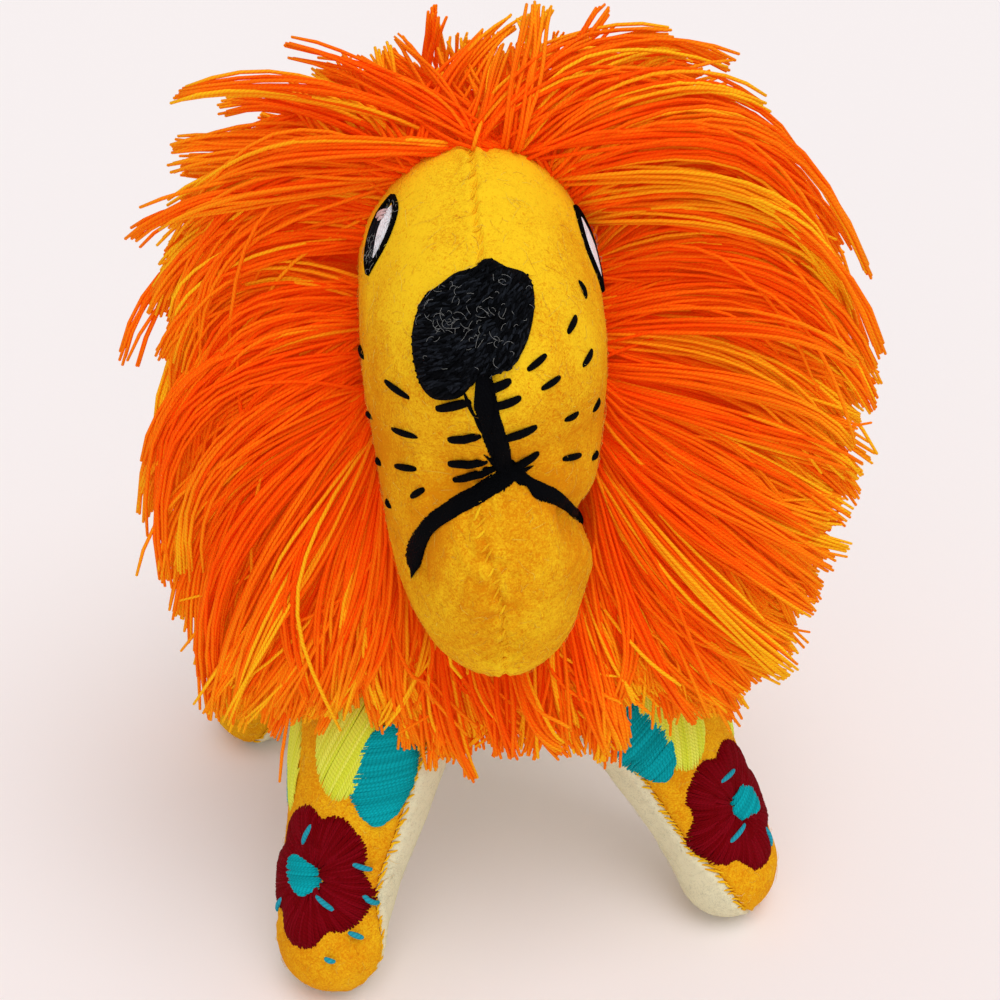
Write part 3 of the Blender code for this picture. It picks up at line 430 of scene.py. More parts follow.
class Surface:
    """A form's finished surface as a grid of rows by columns that closes over its columns."""

    def __init__(self, grid):
        self.grid = grid
        self.normals = grid_normals(grid)
        self.tree = BVHTree.FromPolygons(grid.reshape(-1, 3).tolist(), grid_faces(*grid.shape[:2]).tolist())

    def at(self, row, col, lift=0.0):
        """Points at fractions of rows and columns, lifted along the normal."""
        rows, cols = self.grid.shape[:2]
        row, col = np.broadcast_arrays(np.clip(row, 0, rows - 1.001), np.mod(col, cols))
        r, c = np.floor(row).astype(int), np.floor(col).astype(int) % cols
        u, v = (row - np.floor(row))[..., None], (col - np.floor(col))[..., None]
        d = (c + 1) % cols
        points, normals = (
            (1 - u) * ((1 - v) * g[r, c] + v * g[r, d]) + u * ((1 - v) * g[r + 1, c] + v * g[r + 1, d])
            for g in (self.grid, self.normals)
        )
        return points + unit(normals) * np.asarray(lift)[..., None], unit(normals)

    def cast(self, origins, directions):
        """Where rays first meet the surface, and its outward normals; a ray that misses takes the nearest point."""
        shape = np.broadcast_shapes(np.shape(origins), np.shape(directions))
        starts = np.broadcast_to(origins, shape).reshape(-1, 3)
        ways = np.broadcast_to(unit(directions), shape).reshape(-1, 3)
        points, normals = np.empty_like(starts), np.empty_like(starts)
        for k, (start, way) in enumerate(zip(starts, ways)):
            hit = self.tree.ray_cast(Vector(start), Vector(way))
            if hit[0] is None:
                middle = Vector(self.grid.reshape(-1, 3).mean(axis=0))
                reach = (middle - Vector(start)).dot(Vector(way))
                hit = self.tree.find_nearest(Vector(start) + Vector(way) * reach)
            points[k] = hit[0]
            normal = np.array(hit[1])
            normals[k] = normal if normal @ way < 0 else -normal
        return points.reshape(shape), normals.reshape(shape)

    def panel(self, name, columns, finish, tint, *nodes):
        """Some of its columns as a padded piece, closed behind."""
        piece(name, closed(self.grid[:, columns], tint), finish, *nodes, fill=PANEL_FILL)

    def whip(self, row, col, tint, thick=0.36, arch=0.45, foot=0.05, end=0.6):
        """Whip stitches over paths of rows and columns, in millimetres: each arches over and tapers to its ends."""
        bow = 1 - np.linspace(-1, 1, row.shape[1]) ** 2
        points, normals = self.at(row, col, (arch * bow - foot) * MM)
        return tubes(points, thick * MM * (end + (1 - end) * bow), 6, normals, 0.8, tint)

    def hairs(self, count, seed, columns=slice(None), length=0.0030, width=0.000045):
        """Loose hairs of the felt: thin tubes that follow some of its columns and bend as they rise off them."""
        rng = np.random.default_rng(seed)
        grid = self.grid
        down, aside = grid[1:] - grid[:-1], (np.roll(grid, -1, axis=1) - grid)[:-1]
        per_row, per_col = np.linalg.norm(down, axis=-1), np.linalg.norm(aside, axis=-1)
        wanted = np.zeros(grid.shape[1])
        wanted[columns] = 1
        area = np.linalg.norm(np.cross(down, aside), axis=-1) * wanted
        row, col = np.divmod(rng.choice(area.size, count, p=area.ravel() / area.sum()), area.shape[1])
        share = np.linspace(0, 1, 4)
        heading = rng.uniform(0, TURN, (count, 1)) + rng.normal(0, 1.3, (count, 1)) * share
        step = np.minimum(rng.exponential(0.7, (count, 1)), 2.0) * length * np.gradient(share)
        x, y = (np.cumsum(way(heading) * step, axis=1) for way in (np.cos, np.sin))
        per_row, per_col = (np.maximum(size[row, col], 0.0001)[:, None] for size in (per_row, per_col))
        lift = (0.08 + np.sin(math.pi * share * 0.8) * rng.uniform(0, 0.7, (count, 1)) ** 1.5) * MM
        paths, normals = self.at(row[:, None] + x / per_row, col[:, None] + y / per_col, lift)
        return tubes(paths, width * (1 - 0.6 * share**2), 3, normals, 1.0, rng.uniform(0, 1, count))


# Forms

def turned(points):
    """Points of the head's frame in the world."""
    cr, sr, cy, sy = math.cos(HEAD_ROLL), math.sin(HEAD_ROLL), math.cos(HEAD_YAW), math.sin(HEAD_YAW)
    roll = np.array(((cr, 0, sr), (0, 1, 0), (-sr, 0, cr)))
    yaw = np.array(((cy, -sy, 0), (sy, cy, 0), (0, 0, 1)))
    return np.asarray(points) @ (yaw @ roll).T + NECK


def head_outline(count):
    return smooth_curve(np.array(HEAD_OUTLINE_SHARES) * (HEAD_REACH, HEAD_HALF_HEIGHT), count, closed=True)


def head_width(up):
    return HEAD_WIDTH / 2 * np.interp(up / HEAD_HALF_HEIGHT, *zip(*HEAD_WIDTH_SHARES))


OUTLINE = head_outline(360) - HEAD_CENTRE
OUTLINE_ANGLES = np.arctan2(OUTLINE[:, 1], OUTLINE[:, 0])
OUTLINE_RADII = np.linalg.norm(OUTLINE, axis=1)


def head_depth(points):
    """How far out points of the head's frame lie: 1 on the surface, less inside.

    The surface is where the share of the outline's radius, to the power of the fullness, and the square of
    the share of the half width add up to one.
    """
    ahead, up = -points[..., 1] - HEAD_CENTRE[0], points[..., 2] - HEAD_CENTRE[1]
    radius = np.interp(np.arctan2(up, ahead), OUTLINE_ANGLES, OUTLINE_RADII, period=TURN)
    return np.hypot(ahead, up) / radius, np.abs(points[..., 0]) / head_width(points[..., 2])


def push_from_head(points, clearance):
    """Points of the head's frame moved out along rays from its middle until they clear the surface."""
    centre = np.array((0, -HEAD_CENTRE[0], HEAD_CENTRE[1]))
    share, side = head_depth(points)
    scale = np.ones_like(share)
    for _ in range(6):
        value = (scale * share) ** HEAD_FULLNESS + (scale * side) ** 2 - 1
        slope = HEAD_FULLNESS * share * (scale * share) ** (HEAD_FULLNESS - 1) + 2 * side * side * scale
        scale = np.clip(scale - value / np.maximum(slope, 1e-6), 0.2, 20)
    away = points - centre
    reach = np.linalg.norm(away, axis=-1)
    grow = np.maximum((reach * scale + clearance) / np.maximum(reach, 1e-6), 1)
    return centre + away * grow[..., None]


def head_surface_radius(angle, ahead):
    """The mane's radius at which the head's surface lies, at an angle and a place forward, by bisection."""
    low, high = np.zeros(np.broadcast(angle, ahead).shape), np.full(np.broadcast(angle, ahead).shape, 0.12)
    for _ in range(18):
        middle = (low + high) / 2
        share, side = head_depth(mane_point(middle, angle, ahead))
        inside = share**HEAD_FULLNESS + side**2 < 1
        low, high = np.where(inside, middle, low), np.where(inside, high, middle)
    return low


def head_grid(rows, cols):
    """The head: its outline drawn in towards its centre while the width swells, rows running left to right."""
    turns = np.linspace(0, 1, rows)
    turns = np.clip(math.pi * (turns + 0.64 * np.sin(TURN * turns) / TURN), 0.02, math.pi - 0.02)
    swell = np.sign(np.cos(turns)) * np.sqrt(np.maximum(0, 1 - np.sin(turns) ** HEAD_FULLNESS))
    ring = HEAD_CENTRE + np.sin(turns)[:, None, None] * (head_outline(cols) - HEAD_CENTRE)
    return np.stack([swell[:, None] * head_width(ring[..., 1]), -ring[..., 0], ring[..., 1]], axis=-1)


def body_grid(rows, cols):
    """The body: oval sections along Y that swell and taper between the chest and the rump."""
    along = -np.cos(np.linspace(0.02, math.pi - 0.02, rows))
    size = ((1 - np.abs(along) ** BODY_FULLNESS) ** 0.5)[:, None]
    height = BODY_Z - BELLY_SAG * (1 - along**2)
    from_top = (full_turn(cols) + math.pi) % TURN - math.pi
    seam = math.pi / 2 + GUSSET_ANGLE
    moved = math.pi - np.radians(np.interp(along, *zip(*GUSSET_ROUTE)))[:, None]
    fold = np.abs(from_top)
    below = math.pi - (math.pi - fold) * (math.pi - moved) / (math.pi - seam)
    angle = math.pi / 2 + np.sign(from_top) * np.where(fold < seam, fold * moved / seam, below)
    return LION + np.stack([
        BODY_WIDTH / 2 * size * np.cos(angle),
        np.repeat((BODY_MIDDLE + BODY_HALF * along)[:, None], cols, axis=1),
        height[:, None] + BODY_HEIGHT / 2 * size * np.sin(angle),
    ], axis=-1)


def body_share(points):
    """How far out points lie of the body: 1 on its surface."""
    offset = points - LION
    along = np.clip((offset[..., 1] - BODY_MIDDLE) / BODY_HALF, -1.6, 1.6)
    height = BODY_Z - BELLY_SAG * np.clip(1 - along**2, 0, 1)
    across = np.hypot(offset[..., 0] / (BODY_WIDTH / 2), (offset[..., 2] - height) / (BODY_HEIGHT / 2))
    return (np.abs(along) ** BODY_FULLNESS + across**2) ** 0.5


def fillet(distance, reach):
    """How far a surface swells near another, so that the two meet in a soft fold."""
    return np.clip(1 - np.abs(distance) / reach, 0, 1) ** 2 * reach / 4


class Leg:
    """A leg's axis, the directions out of its outer panel and to its toe, and its sections."""

    def __init__(self, name):
        hip, foot, turn = LEGS[name]
        side = SIDES[name.split("_")[1]]
        self.name = name
        self.hip, self.foot = (LION + np.array(place) * (side, 1, 1) for place in (hip, foot))
        self.length = np.linalg.norm(self.foot - self.hip)
        self.down = unit(self.foot - self.hip)
        panel = np.array((side * math.cos(turn), -math.sin(turn), 0))
        self.outward = unit(panel - self.down * (panel @ self.down))
        toe = np.cross(self.outward, self.down)
        self.toe = toe if toe[1] < 0 else -toe
        self.rows_per_metre = (LEG_ROWS - 1) / (HIP_WIDTH / 2 + self.length + FOOT_END)

    def section(self, share):
        """Half depth, half width and toe shift at a share of the way down."""
        share = np.clip(share, 0, 1)
        taper = share**TAPER_POWER
        swell = np.maximum(0, (share - FOOT_START) / (1 - FOOT_START)) ** 2
        depth = HIP_DEPTH + (ANKLE_DEPTH - HIP_DEPTH) * taper + (FOOT_DEPTH - ANKLE_DEPTH) * swell
        width = HIP_WIDTH + (ANKLE_WIDTH - HIP_WIDTH) * taper + (FOOT_WIDTH - ANKLE_WIDTH) * swell
        return depth / 2, width / 2, TOE_REACH * swell

    def grid(self):
        """Rows down the leg with a round end at the hip and the foot, columns round it from one seam."""
        along = np.linspace(-HIP_WIDTH / 2, self.length + FOOT_END, LEG_ROWS)
        top = np.sqrt(np.clip(1 - (np.minimum(along, 0) / (HIP_WIDTH / 2)) ** 2, 0.0004, 1))
        bottom = np.sqrt(np.clip(1 - (np.maximum(along - self.length, 0) / FOOT_END) ** 2, 0.0004, 1))
        depth, width, shift = self.section(along / self.length)
        size = top * bottom
        twist = FOOT_TWISTS.get(self.name, 0.0) * smooth_step((along / self.length - 0.80) / 0.22)
        angle = full_turn(LEG_COLS) - math.pi / 2 + twist[:, None]
        centre = self.hip + self.down * along[:, None] + self.toe * shift[:, None]
        return (centre[:, None]
                + self.outward * ((width * size)[:, None] * np.cos(angle))[..., None]
                + self.toe * ((depth * size)[:, None] * np.sin(angle))[..., None])

    @cache
    def surface(self):
        """The stuffed leg with its two seams, swelling where it meets the body and flat under its foot."""
        grid = self.grid()
        run = np.arange(LEG_ROWS)[:, None] / self.rows_per_metre
        turn = np.arange(LEG_COLS) / LEG_COLS
        swell = 0.6 * MM * lumps(grid, 0.018, 31) + 0.2 * MM * lumps(grid, 0.006, 32)
        swell = swell + fillet((body_share(grid) - 1) * 0.035, 0.016)
        stitch = 0.5 + 0.5 * np.cos(TURN * run / LEG_PITCH)
        for seam in (0.0, 0.5):
            gap = np.abs((turn - seam + 0.5) % 1 - 0.5)[None] * TURN * LEG_RADIUS
            swell = swell - (0.5 + 0.5 * stitch) * MM * bump(gap, 1.0 * MM) \
                + (0.2 + 0.3 * (1 - stitch)) * MM * bump(gap - 2.2 * MM, 1.4 * MM)
        shaped = grid + grid_normals(grid) * swell[..., None]
        shaped[..., 2] = np.maximum(shaped[..., 2], 0.2 * MM)
        return Surface(shaped)

    def row(self, along):
        """The row at a distance from the hip."""
        return (along + HIP_WIDTH / 2) * self.rows_per_metre

    def inside(self, points):
        """Share of the section's radius at which points lie, and the share of the way down."""
        offset = points - self.hip
        share = offset @ self.down / self.length
        depth, width, shift = self.section(share)
        return np.hypot(offset @ self.outward / width, (offset @ self.toe - shift) / depth), share

    def push(self, points, clearance):
        """Points moved out from the leg's axis until they clear its section."""
        radius, share = self.inside(points)
        depth, width, shift = self.section(share)
        wanted = 1 + clearance / ((depth + width) / 2)
        within = (radius < wanted) & (share > -0.1) & (share < 1.15)
        axis = self.hip + self.down * (share * self.length)[..., None] + self.toe * shift[..., None]
        grow = np.where(within, wanted / np.maximum(radius, 0.15), 1)
        return axis + (points - axis) * grow[..., None]

    def patch(self, share, turn):
        """Points and normals of the leg for places in the plane of a patch turned towards the toe."""
        out = self.outward * math.cos(turn) + self.toe * math.sin(turn)
        across = unit(np.cross(-self.down, out))
        place, above = self.hip + (self.foot - self.hip) * share, np.cross(out, across)

        def points_of(flat):
            origins = place + flat[..., :1] * across + flat[..., 1:] * above + out * 0.06
            return self.surface().cast(origins, np.broadcast_to(-out, origins.shape))

        return points_of


LEG_LIST = [Leg(name) for name in LEGS]


def side_of(angle):
    """An angle about the mane's axis in degrees, from -90 below round to 270."""
    return (np.degrees(angle) + 90) % 360 - 90


def mane_point(radius, angle, ahead):
    """A point of the head's frame at a radius and angle about the mane's axis."""
    return np.stack(np.broadcast_arrays(
        MANE_SHIFT + radius * np.cos(angle), -ahead, -MANE_DROP + radius * np.sin(angle)), axis=-1)


def mane_radius(angle):
    """The radius of the mane's tips: a rounded square, drawn in below."""
    square = np.abs(np.cos(angle)) ** MANE_SQUARENESS + np.abs(np.sin(angle)) ** MANE_SQUARENESS
    lower = 1 - (1 - MANE_LOWER_SHARE) * (1 - np.sin(angle)) / 2
    return MANE_RADIUS * lower * square ** (-1 / MANE_SQUARENESS)


def mane_reach(angle):
    """The share of that radius that strands reach."""
    return np.interp(side_of(angle), *MANE_REACH)


def mane_tip(angle):
    """How far forward the tips lie."""
    return MANE_TIP_TOP + (MANE_TIP_BOTTOM - MANE_TIP_TOP) * (1 - np.sin(angle)) / 2


def mane_front(angle):
    """How far forward the roots begin: further back over the brow and round the eyes."""
    side = side_of(angle)
    return MANE_FRONT - MM * (5 * bump(side - 90, 22) + 8 * bump(side - 128, 16) + 9 * bump(side - 56, 17))


# Materials

class Nodes:
    """A node tree under construction."""

    def __init__(self, tree):
        self.tree = tree

    def add(self, kind, inputs=None, **settings):
        """A node with its settings; an input is given by name or number, as a value or as a socket to link."""
        made = self.tree.nodes.new(f"ShaderNode{kind}")
        for key, value in settings.items():
            setattr(made, key, value)
        for key, value in (inputs or {}).items():
            self.give(made.inputs[key], value)
        return made

    def give(self, socket, value):
        """An input's value, or the link that it comes by."""
        if isinstance(value, bpy.types.NodeSocket):
            self.tree.links.new(value, socket)
        else:
            socket.default_value = (*value, 1) if socket.type == "RGBA" and len(value) == 3 else value

    def math(self, operation, *values, clamp=False):
        return self.add("Math", dict(enumerate(values)), operation=operation, use_clamp=clamp).outputs[0]

    def mix(self, factor, a, b):
        return self.add("Mix", {0: factor, 6: a, 7: b}, data_type="RGBA").outputs[2]

    def noise(self, place, scale, detail, **more):
        return self.add("TexNoise", {"Vector": place, "Scale": scale, "Detail": detail, **more}).outputs["Fac"]

    def attribute(self, name):
        return self.add("Attribute", attribute_name=name).outputs["Fac"]

    def relief(self, shader, height):
        bump_node = self.add("Bump", {"Height": height, "Distance": FIBRE_RISE, "Strength": 0.5})
        self.give(shader.inputs["Normal"], bump_node.outputs[0])


def new_group(name, inputs, outputs):
    """A shader node group with the sockets named in two tables of name and kind, the inputs also with a default."""
    tree = bpy.data.node_groups.new(name, "ShaderNodeTree")
    for label, kind, default in inputs:
        tree.interface.new_socket(label, in_out="INPUT", socket_type=kind).default_value = default
    for label, kind in outputs:
        tree.interface.new_socket(label, in_out="OUTPUT", socket_type=kind)
    return Nodes(tree), tree.nodes.new("NodeGroupInput").outputs, tree.nodes.new("NodeGroupOutput").inputs


COLOUR, VALUE = "NodeSocketColor", "NodeSocketFloat"
WHITE = (1, 1, 1, 1)


@cache
def felt_group():
    """Matted wool: curling fibres over soft patches, as a colour and a height.

    A fibre is a thin line where warped noise passes its middle value.
    """
    nodes, start, end = new_group(
        "felt_fibres", [("Light", COLOUR, WHITE), ("Deep", COLOUR, WHITE), ("Warmth", VALUE, 0.0)],
        [("Colour", COLOUR), ("Height", VALUE)])
    place = nodes.add("TexCoord").outputs["Object"]
    lines = []
    for scale, shift in ((300.0, 0.0), (480.0, 3.0), (760.0, 7.0)):
        moved = nodes.add("VectorMath", {0: place, 1: (shift, shift, shift)}, operation="ADD").outputs[0]
        noise = nodes.noise(moved, scale, 2.0, Roughness=0.6, Distortion=1.6)
        away = nodes.math("ABSOLUTE", nodes.math("SUBTRACT", noise, 0.5))
        lines.append(nodes.math("SUBTRACT", 1.0, nodes.math("MULTIPLY", away, 11.0), clamp=True))
    fibres = nodes.math("MAXIMUM", nodes.math("MAXIMUM", lines[0], lines[1]), lines[2])
    grain = nodes.noise(place, 1900.0, 3.0, Roughness=0.7)
    patches = nodes.noise(place, 70.0, 4.0, Roughness=0.6)
    fine = nodes.math("MULTIPLY", nodes.math("SUBTRACT", 0.42, fibres), 0.60)
    dots = nodes.math("MULTIPLY", nodes.math("SUBTRACT", grain, 0.5), 2.0)
    wide = nodes.math("MULTIPLY", nodes.math("SUBTRACT", patches, 0.5), 1.3)
    # The tint deepens the colour: painted shade on the head and the legs' outer panels, a slight even deepening on the
    # body and tail
    depth = nodes.math("ADD", nodes.math("ADD", nodes.math("ADD", fine, dots), wide), start["Warmth"])
    share = nodes.math("ADD", depth, 0.22, clamp=True)
    nodes.give(end["Colour"], nodes.mix(share, start["Light"], start["Deep"]))
    nodes.give(end["Height"], nodes.math("ADD", fibres, nodes.math("MULTIPLY", grain, 0.8)))
    return nodes.tree


@cache
def ply_group():
    """Two plies twisted together: the ridge height over the UV map, which is in turns and metres."""
    nodes, start, end = new_group("plied_twist", [("Pitch", VALUE, 0.003)], [("Ridge", VALUE), ("Fluff", VALUE)])
    parts = nodes.add("SeparateXYZ", {0: nodes.add("UVMap", uv_map="UVMap").outputs[0]}).outputs
    turns = nodes.math("MULTIPLY", parts[0], 2.0)
    along = nodes.math("DIVIDE", nodes.math("MULTIPLY", parts[1], 2.0), start["Pitch"])
    phase = nodes.math("MULTIPLY", nodes.math("ADD", turns, along), math.pi)
    nodes.give(end["Ridge"], nodes.math("ABSOLUTE", nodes.math("COSINE", phase)))
    nodes.give(end["Fluff"], nodes.noise(nodes.add("TexCoord").outputs["Object"], 2500.0, 2.0))
    return nodes.tree


def new_material(name, roughness):
    made = bpy.data.materials.new(f"sewn_{name}")
    made.use_nodes = True
    shader = made.node_tree.nodes["Principled BSDF"]
    shader.inputs["Roughness"].default_value = roughness
    shader.inputs["Specular IOR Level"].default_value = 0.04
    return made, Nodes(made.node_tree), shader


def felt(name, light, deep):
    """Wool felt whose fibres run between a light and a deep colour; the tint attribute deepens it, as painted shade on
    the head and the legs' outer panels.
    """
    made, nodes, shader = new_material(name, 0.95)
    group = nodes.add("Group", node_tree=felt_group())
    for key, value in (("Light", light), ("Deep", deep), ("Warmth", nodes.attribute("tint"))):
        nodes.give(group.inputs[key], value)
    nodes.give(shader.inputs["Base Color"], group.outputs["Colour"])
    nodes.relief(shader, group.outputs["Height"])
    return made


def yarn(name, groove, low, high, pitch=0.0022, tips=0.0, depth=0.6, glow=0.0):
    """Plied yarn: painted shade colour in the grooves between the plies, low to high by each strand's tint, more at
    its tip; a painted glow if one is given.
    """
    made, nodes, shader = new_material(name, 0.85)
    tint, share = nodes.attribute("tint"), nodes.attribute("share")
    ply = nodes.add("Group", node_tree=ply_group())
    ply.inputs["Pitch"].default_value = pitch
    late = nodes.math("MULTIPLY", nodes.math("POWER", share, 5.0), tips)
    toned = nodes.math("ADD", tint, late, clamp=True)
    wander = nodes.math("MULTIPLY_ADD", nodes.math("SUBTRACT", ply.outputs["Fluff"], 0.5), 0.35, toned)
    base = nodes.mix(nodes.math("ADD", wander, 0.0, clamp=True), low, high)
    # Painted shade between the plies: the colour goes towards the groove colour by the depth where the ridge falls
    # away
    groove_shade = nodes.math("SUBTRACT", 1.0, nodes.math("POWER", ply.outputs["Ridge"], 0.6), clamp=True)
    colour = nodes.mix(nodes.math("MULTIPLY", groove_shade, depth), base, groove)
    nodes.give(shader.inputs["Base Color"], colour)
    # Painted glow: the yarn emits its own colour, which lifts the shade between the mane's strands
    if glow:
        nodes.give(shader.inputs["Emission Color"], colour)
        shader.inputs["Emission Strength"].default_value = glow
    height = nodes.math("ADD", ply.outputs["Ridge"], nodes.math("MULTIPLY", ply.outputs["Fluff"], 0.5))
    nodes.relief(shader, height)
    return made


# Painted shade colour in a yarn's grooves between the plies, its low and high tone, and what else it sets, such as a
# painted glow; a name is one of the scene's colours
YARNS = {
    "mane_yarn": ((0.90, 0.030, 0.0), "orange", "amber", {"pitch": 0.0026, "tips": 0.25, "depth": 0.45, "glow": 0.09}),
    "black_thread": ((0.0, 0.0, 0.001), (0.0012, 0.0014, 0.002), (0.016, 0.019, 0.026), {}),
    "grey_fibre": ((0.3, 0.3, 0.3), (0.30, 0.30, 0.29), (0.50, 0.51, 0.50), {}),
    "white_thread": ((0.60, 0.60, 0.64), (0.82, 0.82, 0.86), (0.95, 0.95, 0.98), {}),
    "pink_thread": ((0.5, 0.35, 0.35), (0.70, 0.50, 0.50), (0.85, 0.70, 0.68), {}),
    "crimson_thread": ((0.060, 0.0, 0.001), "crimson", (0.22, 0.002, 0.008), {"depth": 0.4}),
    "teal_thread": ((0.0, 0.13, 0.14), "turquoise", (0.003, 0.44, 0.50), {}),
    "sky_thread": ((0.01, 0.10, 0.16), (0.02, 0.35, 0.46), (0.08, 0.52, 0.62), {}),
    "gold_hair": ("gold", "gold_deep", (1.0, 0.80, 0.16), {}),
    "cream_hair": ("cream", "cream", (0.95, 0.93, 0.80), {}),
    "lime_thread": ((0.45, 0.48, 0.02), "lime", (0.88, 0.90, 0.12), {}),
    "gold_thread": ((0.62, 0.24, 0.003), "gold_deep", "gold", {"depth": 0.35}),
}


@cache
def cloth(name):
    """A finish by name, made when it is first asked for."""
    def tone(colour):
        return tuple(getattr(bpy.context.scene.lion_colours, colour)) if isinstance(colour, str) else colour

    if name == "gold_felt":
        return felt(name, tone("gold"), tone("gold_deep"))
    if name == "cream_felt":
        return felt(name, tone("cream"), tuple(0.70 * part for part in tone("cream")))
    *tones, more = YARNS[name]
    return yarn(name, *map(tone, tones), **more)


# Stitches

def sight_lines(pixels):
    """The camera's place, and the directions through pixels of the photograph's frame."""
    low = math.cos(CAMERA_LOW)
    back = np.array((math.sin(CAMERA_TURN) * low, -math.cos(CAMERA_TURN) * low, math.sin(CAMERA_LOW)))
    right = unit(np.cross(-back, (0, 0, 1)))
    above = np.cross(right, -back)
    pixels = (np.asarray(pixels, float) - FRAME_PIXELS / 2) / FOCAL_PIXELS
    return CAMERA_AIM + back * CAMERA_REACH, -back + right * pixels[..., :1] - above * pixels[..., 1:]


def dashes(surface, ends, width, bulge=0.5, lift=0.0, jitter=0.0, seed=0, taper=0.35):
    """Single stitches between pairs of sighted points: tubes that arch over the surface and taper to both ends."""
    ends = np.asarray(ends, float)
    share = np.linspace(0, 1, 9)[:, None]
    points, normals = surface.cast(*sight_lines(ends[:, None, 0] * (1 - share) + ends[:, None, 1] * share))
    arch = np.sin(math.pi * share[:, 0]) ** 0.7
    radius = width / 2 * (taper + (1 - taper) * arch)
    if jitter:
        radius = radius * (1 + jitter * np.random.default_rng(seed).uniform(-1, 1, (len(ends), 1)))
    points = points + normals * ((arch * bulge - 0.15) * width / 2 + lift)[..., None]
    return tubes(points, radius, 8, normals, 0.75)


def band_stitches(surface, line, widths, thread, slant, seed, lift, pitch=1.2):
    """A band of satin stitch along a sighted line: short stitches laid side by side across it."""
    rng = np.random.default_rng(seed)
    line = smooth_curve(line, 60)
    run = lengths(line)
    count = int(run[-1] / pitch)
    at = np.clip(np.linspace(0, run[-1], count) + rng.uniform(-0.3, 0.3, count) * pitch, 0, run[-1])
    centre, ahead = read(at, run, line), unit(read(at, run, np.gradient(line, run, axis=0)))
    across = np.column_stack([-ahead[:, 1], ahead[:, 0]])
    width = np.interp(at / run[-1], np.linspace(0, 1, len(widths)), widths) / 2
    width = (width * (1 + rng.uniform(-0.04, 0.04, count)))[:, None]
    reach = across * width + ahead * slant * width
    return dashes(surface, np.stack([centre - reach, centre + reach], axis=1), thread, 1.3, lift, 0.15, seed)


def satin(points_of, outline, lean, pitch, thread, rise, seed, steps=9):
    """Parallel stitches that fill an outline: each runs from edge to edge along the lean and arches over.

    points_of gives points and normals on the carrier for places in the outline's own plane.
    """
    rng = np.random.default_rng(seed)
    along = np.array((math.cos(lean), math.sin(lean)))
    across = np.array((-along[1], along[0]))
    ring = np.vstack([outline, outline[:1]])
    s, t = ring @ along, ring @ across
    rows = []
    for level in np.arange(t.min() + 0.4 * pitch, t.max() - 0.2 * pitch, pitch):
        level = level + rng.uniform(-0.12, 0.12) * pitch
        cross = (t[:-1] - level) * (t[1:] - level) < 0
        if cross.sum() < 2:
            continue
        share = (level - t[:-1][cross]) / (t[1:][cross] - t[:-1][cross])
        found = np.sort(s[:-1][cross] + share * (s[1:][cross] - s[:-1][cross]))
        for low, high in zip(found[::2], found[1::2]):
            if high - low > 0.6 * thread:
                slip = rng.uniform(-0.35, 0.35, 2) * pitch
                rows.append((low + rng.uniform(-0.2, 0.25) * MM, high + rng.uniform(-0.25, 0.2) * MM, *(level + slip)))
    rows, share = np.array(rows), np.linspace(0, 1, steps)
    ways = rows[:, :1] * (1 - share) + rows[:, 1:2] * share
    sides = rows[:, 2:3] * (1 - share) + rows[:, 3:] * share
    points, normals = points_of(ways[..., None] * along + sides[..., None] * across)
    arch = np.clip(np.sin(math.pi * share), 0, 1) ** 0.45
    lift = arch * rise - 0.15 * thread + rng.uniform(-0.08, 0.08, (len(rows), 1)) * thread
    radius = thread / 2 * (0.5 + 0.5 * arch) * (1 + rng.uniform(-0.1, 0.1, (len(rows), 1)))
    return tubes(points + normals * lift[..., None], radius, 7, normals, 0.8, rng.uniform(0, 1, len(rows)))


def curly_fibres(shell, centres, seed, length=0.0024, width=0.000035, lift=0.0):
    """Loose pale fibres: thin tubes that curl just above a surface."""
    rng = np.random.default_rng(seed)
    points, normals = shell.cast(*sight_lines(centres))
    count = len(points)
    side = unit(np.cross(normals, rng.normal(size=(count, 3))))
    other = np.cross(normals, side)
    share = np.linspace(0, 1, 12)
    turn = rng.uniform(0.2, 3.0, (count, 1)) * share * rng.choice((-1, 1), (count, 1))
    reach = rng.uniform(0.3, 1.4, (count, 1)) * length
    x, y = (np.cumsum(way(turn) * np.gradient(share), axis=1) * reach for way in (np.cos, np.sin))
    raised = lift + (0.55 + 0.5 * np.sin(math.pi * share) * rng.uniform(0, 1, (count, 1))) * MM
    paths = points[:, None] + side[:, None] * x[..., None] + other[:, None] * y[..., None] \
        + normals[:, None] * raised[..., None]
    return tubes(paths, width, 4)


# Head

